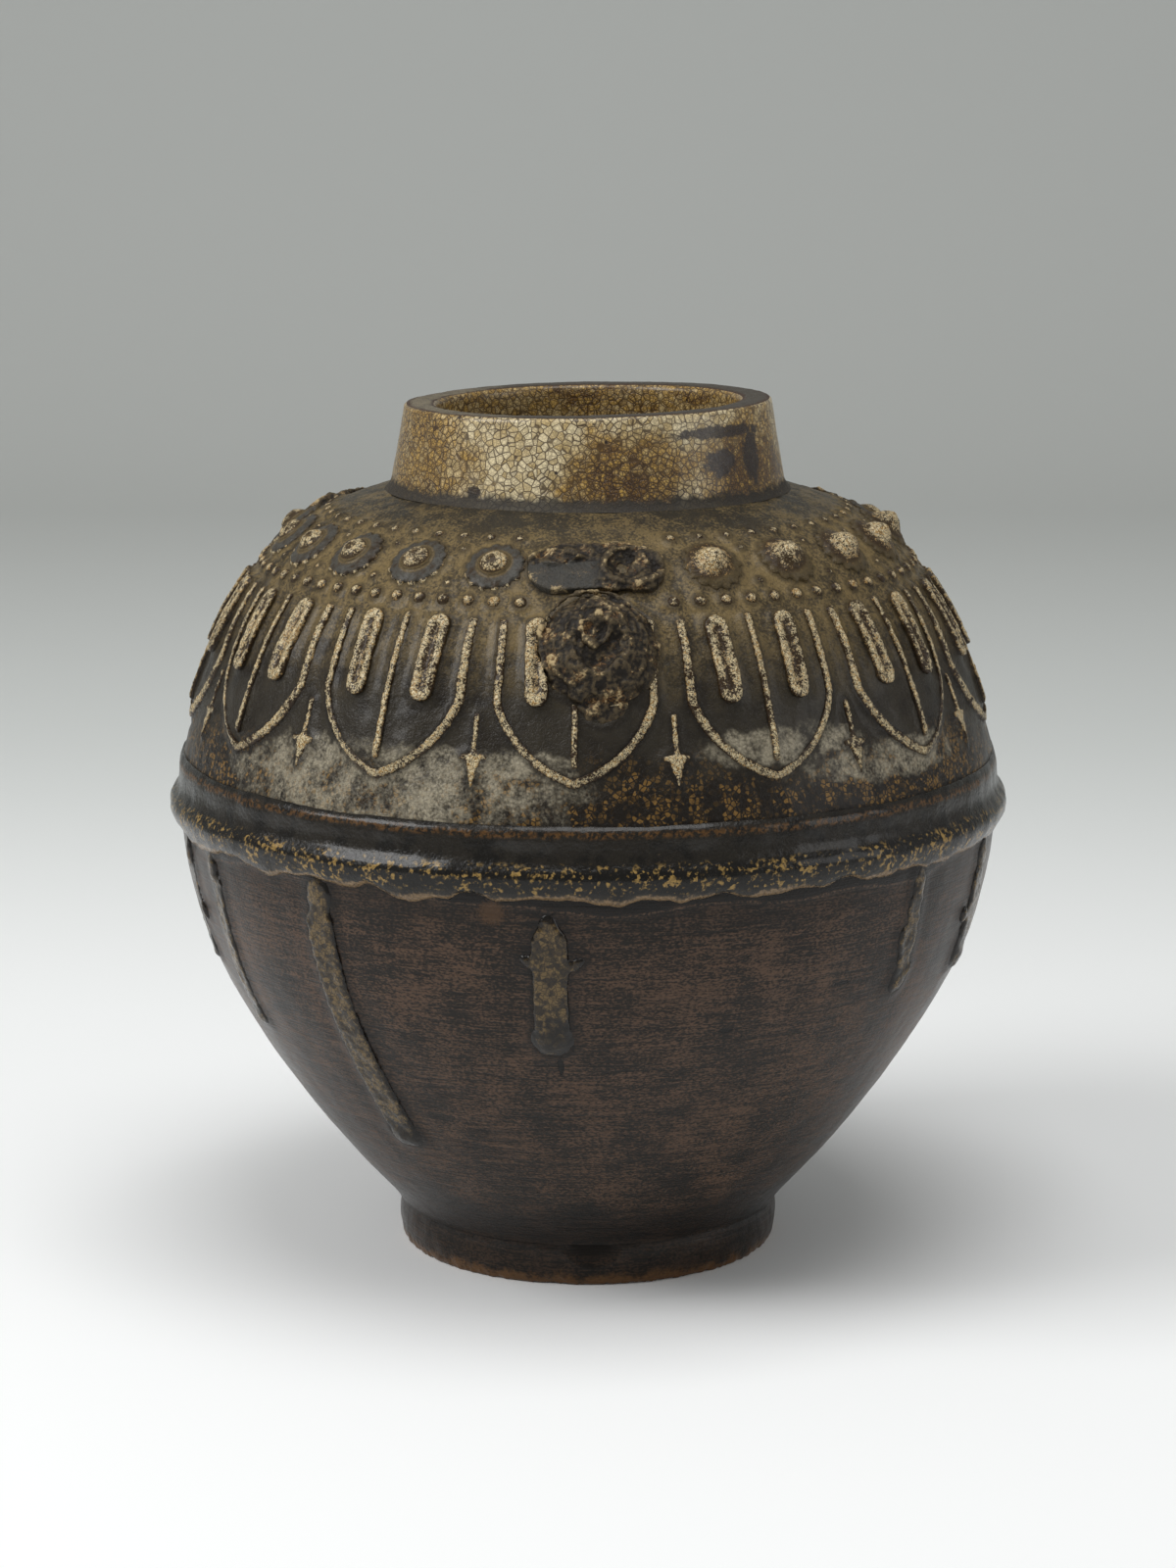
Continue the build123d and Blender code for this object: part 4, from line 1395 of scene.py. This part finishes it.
@dataclass
class Relief(SubAssembly):
    """Studs, petals, darts and beads laid on the shoulder, and the runs of glaze.

    Curves give a value by the distance from a stud's middle in millimetres. Lumps of the runs are
    given by angle, share of the wall, half width and length in millimetres, and turn.
    """

    petal: Grain = Grain(0.48, 14, 0.6, 0.2)
    bead: Grain = Grain(0.5, 2, 0.4, 0.15, 1)
    stud: Grain = Grain(0.5, 4, 0.7, 0.25)
    run: Grain = Grain(0.7, 9, 0.8, 0.2)
    mound: PetalMound = PetalMound()
    mound_share: float = 0.33
    root: float = 0.0012
    lump_size: float = 3.0
    crumb_size: float = 0.9
    spread: int = 8
    least_peak: float = 0.4
    cones: tuple[int, ...] = (1, 2, 3, 4, 5, 8, 11)
    cone_rise: float = 0.0018
    cone_reach: float = 8.0
    stud_share: float = 0.745
    cone_cream: Curve = ((0.0, 4.0, 6.2, 7.8, 9.6), (0.98, 0.92, 0.66, 0.42, 0.1))
    # Past 4.3 mm the button's crest falls to nothing, so the shoulder finish lays a ring of painted shade
    # round the button's foot.
    button_cream: Curve = ((0.0, 1.0, 2.0, 3.6, 4.3, 5.0), (0.72, 0.76, 0.95, 0.92, 0.4, 0.0))
    disc_grey: Curve = ((4.8, 5.6, 8.0, 8.8), (0.0, 1.0, 1.0, 0.0))
    cone_shade: Curve = ((0.0, 8.0), (0.0, 0.24))
    rim_start: float = 7.5
    rim_cream: Curve = ((-4.5, 3.6), (0.98, 0.476))
    rim_gain: float = 2.6
    lump_height: float = 1.5
    lumps: tuple[tuple[float, ...], ...] = (
        (-8.0, 0.175, 1.8, 3.0, 50.0),
        (-1.6, 0.18, 1.8, 3.4, -55.0),
        (-4.8, 0.19, 2.4, 3.4, 0.0),
        (-5.2, 0.11, 3.4, 5.0, 0.0),
        (66.6, 0.2, 2.2, 3.4, 10.0),
        (68.6, 0.26, 2.6, 3.0, 0.0),
        (71.4, 0.24, 1.8, 4.0, -8.0),
        (48.2, 0.2, 1.4, 5.0, 4.0),
        (51.4, 0.27, 2.0, 3.0, -6.0),
        (-70.2, 0.2, 1.8, 4.0, 12.0),
    )
    lead_share: float = 0.085
    lead_length: float = 7.0
    leads: tuple[Point, ...] = (
        (-38.0, 5.0),
        (-62.5, 3.0),
        (-73.2, 2.6),
        (50.2, 3.2),
        (70.4, 4.0),
        (102.6, 3.6),
        (141.6, 3.4),
        (175.8, 4.4),
        (206.6, 3.6),
        (243.0, 4.0),
        (262.0, 2.6),
    )

    def build(self) -> None:
        """Builds every relief piece from its solid."""
        grains = {"petal": self.petal, "dart": self.petal, "boss": self.stud, "glaze_runs": self.run}
        for name in sorted(self.nodes):
            family = name.rstrip("0123456789").rstrip("_")
            grain = self.bead if family.endswith("beads") else grains.get(family)
            if grain:
                self.build_piece(name, family, grain)

    def build_piece(self, name: str, family: str, grain: Grain) -> None:
        """Roots one piece in the wall, softens it and dresses it.

        Args:
            name: Name of its solid.
            family: Its name without a number.
            grain: How it is softened.
        """
        run = family == "glaze_runs"
        wall = self.shape.lower_wall() if run else self.shape.upper_wall()
        piece = Bench.copied(f"{name}_glazed", self.nodes[name])
        Bench.rooted(piece, wall, self.root)
        if run:
            Bench.joined(piece, self.drips(wall))
        Bench.softened(piece, grain.voxel, grain.rounds)
        rise = wall.rise(Bench.places(piece)) / MM
        soft = Bench.evened(piece, rise, grain.even)
        crest = np.clip(soft / np.maximum(Bench.peaks(piece, soft, self.spread), self.least_peak), 0, 1)
        if family == "boss":
            crest = self.point(piece, wall, int(name[-2:]), crest)
        # A low crest marks a piece's foot and flanks, where its finish paints shade.
        Bench.marked(piece, {Mark.RISE: rise, Mark.CREST: crest})
        if family == "petal":
            self.swell(piece, wall, int(name[-2:]))
        Bench.roughened(piece, (self.lump_size, grain.lumps), (self.crumb_size, grain.crumbs))
        Bench.smooth(piece)
        finish = self.finishes.run if run else self.finishes.shoulder
        self.dress(piece, [finish], "run_glaze" if run else "cream_slip", name)

    def swell(self, piece: Piece, wall: Wall, number: int) -> None:
        """Lifts a petal's lines with the swelling of the clay under them."""
        weights = self.mound.weights(Bench.places(piece), wall)
        angle = self.mound.angle + 360 / self.mound.count * (number - 1)
        lift = wall.facing(angle, self.mound_share).col[2] * self.mound.height
        Bench.raised(piece, "mound", weights, **dict(zip("XYZ", lift)))

    def point(self, piece: Piece, wall: Wall, number: int, crest: np.ndarray) -> np.ndarray:
        """Draws some studs up to a cone, and marks the glazed disc and the cream rim of the others.

        Args:
            piece: The stud.
            wall: The wall that it lies on.
            number: Its number in the row.
            crest: How near each vertex is to the top of its relief, from 0 to 1.

        Returns:
            The same, with the cream kept to the button and the rim.
        """
        places = Bench.places(piece)
        centre = places.mean(axis=0)
        angle = math.degrees(math.atan2(centre[0], -centre[1]))
        middle = np.array(wall.place(angle, float(wall.share_of(centre[None, :])[0])))
        facing = wall.facing(angle, self.stud_share)
        across, up = ((places - middle) @ np.array(facing.col[k]) / MM for k in (0, 1))
        reach = np.hypot(across, up)
        if number in self.cones:
            lift = facing.col[2] * self.cone_rise
            weights = np.clip(1 - reach / self.cone_reach, 0, 1)
            Bench.raised(piece, "cone", weights, **dict(zip("XYZ", lift)))
            Bench.marked(piece, {Mark.DISC: reach * 0})
            return np.interp(reach, *self.cone_cream) - np.interp(across - up, *self.cone_shade)
        rim = np.clip(reach - self.rim_start, 0, 1) * np.interp(up, *self.rim_cream)
        rim = rim * np.clip(crest * self.rim_gain, 0, 1)
        Bench.marked(piece, {Mark.DISC: np.interp(reach, *self.disc_grey)})
        return np.maximum(np.interp(reach, *self.button_cream), rim)

    def drips(self, wall: Wall) -> list[Piece]:
        """Adds the lumps and side arms of the runs, and their leads from under the girdle."""
        share, tall, thick = self.lead_share, self.lead_length, self.lump_height
        leads = [(angle, share, wide, tall, 0.0) for angle, wide in self.leads]
        rows = [*self.lumps, *leads]
        return [Bench.blob(wall, *row[:2], (*row[2:4], thick), row[4]) for row in rows]


@dataclass(frozen=True)
class Crumb:
    """Lump of broken clay, or a coil where it has a lift, placed from a root's middle."""

    turn: float
    climb: float
    size: Size
    spin: float = 0.0
    lift: float = 0.0

    def added(self, wall: Wall, angle: float, share: float) -> Piece:
        """Adds the lump on a root at an angle and a share of the wall."""
        place = (wall, angle + self.turn, share + self.climb, self.size)
        return Bench.ring(*place, self.lift) if self.lift else Bench.blob(*place, self.spin)


@dataclass
class Lugs(SubAssembly):
    """Broken roots of the strap handles: a crumbling dome below, a glazed lobe and a hollow one above."""

    lug_angles: tuple[float, ...] = (1.5, 122.8, 243.0)
    root: float = 0.0015
    voxel: float = 0.42
    rounds: int = 6
    even: int = 12
    stub_share: float = 0.52
    scar_share: float = 0.745
    noise: tuple[Point, ...] = ((7.0, 3.0), (2.8, 1.4), (1.0, 0.5))
    lobe_rise: float = 0.01
    lobe_lean: float = 0.0012
    tear: Curve = ((-1.2, 1.5), (0.1, 1.0))
    stub_crumbs: tuple[Crumb, ...] = (
        Crumb(-0.4, 0.05, (4.2, 6.4, 0.8), lift=6.7),
        Crumb(-0.3, 0.01, (8.8, 10.0, 0.7), lift=6.2),
        Crumb(0.0, 0.0, (12.6, 13.0, 0.9), lift=3.6),
        Crumb(-0.8, 0.02, (14.4, 15.0, 0.7), lift=1.4),
        Crumb(0.4, -0.125, (8.0, 7.0, 3.6)),
        Crumb(-3.4, 0.07, (6.0, 5.0, 6.4)),
        Crumb(3.6, -0.08, (3.8, 3.2, 6.6)),
        Crumb(-2.4, -0.1, (4.2, 3.6, 6.2)),
        Crumb(0.0, 0.0, (12.0, 12.0, 6.0)),
    )
    scar_crumbs: tuple[Crumb, ...] = (
        Crumb(-11.5, 0.02, (3.0, 1.0, 3.9), 60.0),
        Crumb(-8.0, -0.004, (3.8, 1.0, 4.3), -4.0),
        Crumb(-3.6, 0.014, (3.8, 1.0, 4.3), 28.0),
        Crumb(6.4, -0.004, (8.0, 6.8, 1.2), lift=2.1),
        Crumb(-6.4, -0.02, (8.4, 6.2, 2.9)),
        Crumb(-3.0, 0.055, (7.0, 2.4, 2.4), 6.0),
        Crumb(5.5, 0.06, (7.0, 2.4, 2.6), -6.0),
    )

    def build(self) -> None:
        """Builds both roots of each handle."""
        for number, angle in enumerate(self.lug_angles, 1):
            self.build_root(f"lug_stub_{number:02d}", angle, self.stub_share, self.stub_crumbs)
            self.build_root(f"lug_scar_{number:02d}", angle, self.scar_share, self.scar_crumbs)

    def build_root(self, name: str, angle: float, share: float, crumbs: Sequence[Crumb]) -> None:
        """Sinks a root in the wall, lays crumbs on it, roughens it and dresses it.

        Args:
            name: Name of its solid.
            angle: Its angle from the front, in degrees.
            share: Its share of the wall.
            crumbs: What lies on it.
        """
        wall = self.shape.upper_wall()
        piece = Bench.copied(f"{name}_broken", self.nodes[name])
        Bench.rooted(piece, wall, self.root)
        Bench.joined(piece, [crumb.added(wall, angle, share) for crumb in crumbs])
        Bench.softened(piece, self.voxel, self.rounds)
        torn = np.ones(len(piece.data.vertices))
        if crumbs is self.scar_crumbs:
            torn = self.torn(Bench.places(piece), wall, angle)
        Bench.weighted(piece, "torn", torn)
        Bench.roughened(piece, *self.noise, vertex_group="torn")
        rise = wall.rise(Bench.places(piece)) / MM
        # Crest is how far the clay stands over its smoothed self; the finish paints shade where it is low.
        Bench.marked(piece, {Mark.CREST: rise - Bench.evened(piece, rise, self.even), Mark.DISC: 1 - torn})
        Bench.smooth(piece)
        self.dress(piece, [self.finishes.broken], "bare_clay", name)

    def torn(self, places: np.ndarray, wall: Wall, angle: float) -> np.ndarray:
        """Gives how torn each place of an upper root is, from 0 to 1: little on its glazed lobe."""
        across = (np.degrees(angles(places)) - angle + 180) % 360 - 180
        low = wall.share_of(places) < self.scar_share + self.lobe_rise + self.lobe_lean * across
        return np.where(low, np.interp(across, *self.tear), 1.0)


@dataclass
class Shoulder(SubAssembly):
    """Thrown upper half, with glaze drawn up round the relief."""

    steps: int = 620
    row: float = 0.00112
    inner_rows: int = 20
    skirt: float = 0.0034
    skirt_height: float = 0.0009
    noise: tuple[Point, ...] = ((22.0, 0.9), (5.0, 0.45))
    mound: PetalMound = PetalMound()

    def build(self, relief: Sequence[Piece]) -> None:
        """Spins the shoulder and raises a skirt of glaze round each relief piece.

        Args:
            relief: The pieces that stand on the shoulder.
        """
        shape, wall = self.shape, self.shape.upper_wall()
        count, throat = int(wall.lengths[-1] / self.row), shape.mouth_radius + shape.throat_step
        outline = [wall.at(i / count) for i in range(count + 1)]
        inner = [wall.at(i / self.inner_rows, -shape.wall) for i in range(self.inner_rows + 1)]
        outline += [(throat, outline[-1][1]), (throat, inner[-1][1])] + inner[::-1]
        piece = Bench.spun("shoulder_glazed", outline, self.steps)
        places = Bench.places(piece)
        skirt = Bench.skirt(piece, wall, relief, self.skirt)
        swelling = self.mound.weights(places, wall) * (wall.rise(places) >= INSIDE)
        Bench.raised(piece, "mound", swelling, NORMAL=self.mound.height)
        Bench.raised(piece, "skirt", skirt, NORMAL=self.skirt_height)
        Bench.roughened(piece, *self.noise)
        bare = skirt * 0
        # The skirt is kept as rise, which the finish also uses to paint shade round the relief.
        marks = {Mark.RISE: skirt, Mark.CREST: bare, Mark.DISC: bare, Mark.FIELD: swelling}
        Bench.marked(piece, marks)
        Bench.smooth(piece, 60)
        self.dress(piece, [self.finishes.shoulder], "grey_glaze", "shoulder")


# Studio

@dataclass
class Studio:
    """Floor, backdrop, lights and camera."""

    distance: float = 1.18
    pitch: float = 11.37
    aim: float = 0.1384
    lens: float = 90.3
    sensor: float = 36.0
    floor_drop: float = 0.0002
    floor: Size = (6.0, 3.4, 1.0)
    bend_radius: float = 0.6
    bend_steps: int = 12
    backdrop: float = 2.4
    room: Colour = (0.99, 1.0, 0.99, 1.0)
    room_strength: float = 0.3
    lamps: tuple[tuple[str, Size, float, float], ...] = (
        ("key", (-1.35, -0.55, 1.35), 0.9, 19.0),
        ("top", (0.1, -0.35, 1.9), 1.1, 15.0),
        ("fill", (1.5, -0.5, 0.7), 0.8, 3.5),
    )

    def build(self) -> None:
        """Sets up the room, the lights and the camera."""
        self.build_sweep()
        self.build_lights()
        self.build_camera()
        bpy.context.scene.view_settings.view_transform = "Standard"

    def build_sweep(self) -> None:
        """Builds the floor and the backdrop as one swept sheet."""
        Bench.clear()
        bpy.ops.mesh.primitive_plane_add(size=1.0, location=(0, 0, -self.floor_drop))
        sweep = Bench.named("studio_sweep")
        sweep.scale = self.floor
        mesh = Bench.settled().data
        for edge in mesh.edges:
            edge.select = all(mesh.vertices[i].co.y > 1.0 for i in edge.vertices)
        for vertex in mesh.vertices:
            vertex.select = vertex.co.y > 1.0
        for polygon in mesh.polygons:
            polygon.select = False
        bpy.ops.object.mode_set(mode="EDIT")
        bpy.ops.mesh.select_mode(type="EDGE")
        turn = math.pi / 2 / self.bend_steps
        for i in range(self.bend_steps):
            lean, step = turn * (i + 0.5), self.bend_radius * turn
            value = (0, step * math.cos(lean), step * math.sin(lean))
            bpy.ops.mesh.extrude_region_move(TRANSFORM_OT_translate={"value": value})
        bpy.ops.mesh.extrude_region_move(TRANSFORM_OT_translate={"value": (0, 0, self.backdrop)})
        bpy.ops.object.mode_set(mode="OBJECT")
        Bench.smooth(sweep)
        mesh.materials.append(Paper().material())

    def build_lights(self) -> None:
        """Adds the soft lamps and an even room."""
        world = bpy.data.worlds.new("studio_room")
        world.use_nodes = True
        background = world.node_tree.nodes["Background"]
        background.inputs[0].default_value = self.room
        background.inputs[1].default_value = self.room_strength
        bpy.context.scene.world = world
        for lamp in self.lamps:
            self.build_lamp(*lamp)

    def aimed(self, name: str, data: bpy.types.ID, place: Sequence[float]) -> Piece:
        """Adds a lamp or a camera that looks at the jar from a place."""
        thing = bpy.data.objects.new(name, data)
        thing.location = place
        ahead = Vector((0, 0, self.aim)) - Vector(place)
        thing.rotation_euler = ahead.to_track_quat("-Z", "Y").to_euler()
        bpy.context.scene.collection.objects.link(thing)
        return thing

    def build_lamp(self, name: str, place: Size, size: float, power: float) -> None:
        """Adds one square lamp.

        Args:
            name: Its name.
            place: Where it hangs.
            size: Length of its side.
            power: Its power in watts.
        """
        light = bpy.data.lights.new(name, "AREA")
        light.shape, light.size, light.energy = "SQUARE", size, power
        self.aimed(name, light, place)

    def build_camera(self) -> None:
        """Adds the camera at the photograph's angle."""
        data = bpy.data.cameras.new("camera")
        data.sensor_fit, data.sensor_height, data.sensor_width = "AUTO", self.sensor, self.sensor
        data.lens = self.lens
        tilt = math.radians(self.pitch)
        away = Vector((0, -math.cos(tilt), math.sin(tilt))) * self.distance
        bpy.context.scene.camera = self.aimed("camera", data, Vector((0, 0, self.aim)) + away)


def corners(bounds: Sequence[Sequence[float]]) -> list[list[float]]:
    """Gives a box as plain lists of numbers."""
    return [[float(part) for part in corner] for corner in bounds]


def main() -> None:
    """Builds the jar's looks and the studio."""
    logging.basicConfig(level=logging.INFO, format="%(name)s: %(message)s")
    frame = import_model()
    Bench.clear()
    finishes = Finishes.made()
    nodes = frame["nodes"]
    relief, lugs = Relief(nodes, finishes), Lugs(nodes, finishes)
    relief.build()
    lugs.build()
    standing = [piece for piece in relief.pieces if not piece.name.startswith("glaze_runs")] + lugs.pieces
    Shoulder(nodes, finishes).build(standing)
    Girdle(nodes, finishes).build()
    LowerHalf(nodes, finishes).build([piece for piece in relief.pieces if piece not in standing])
    Neck(nodes, finishes).build()
    Studio().build()


if __name__ == "__main__":
    main()
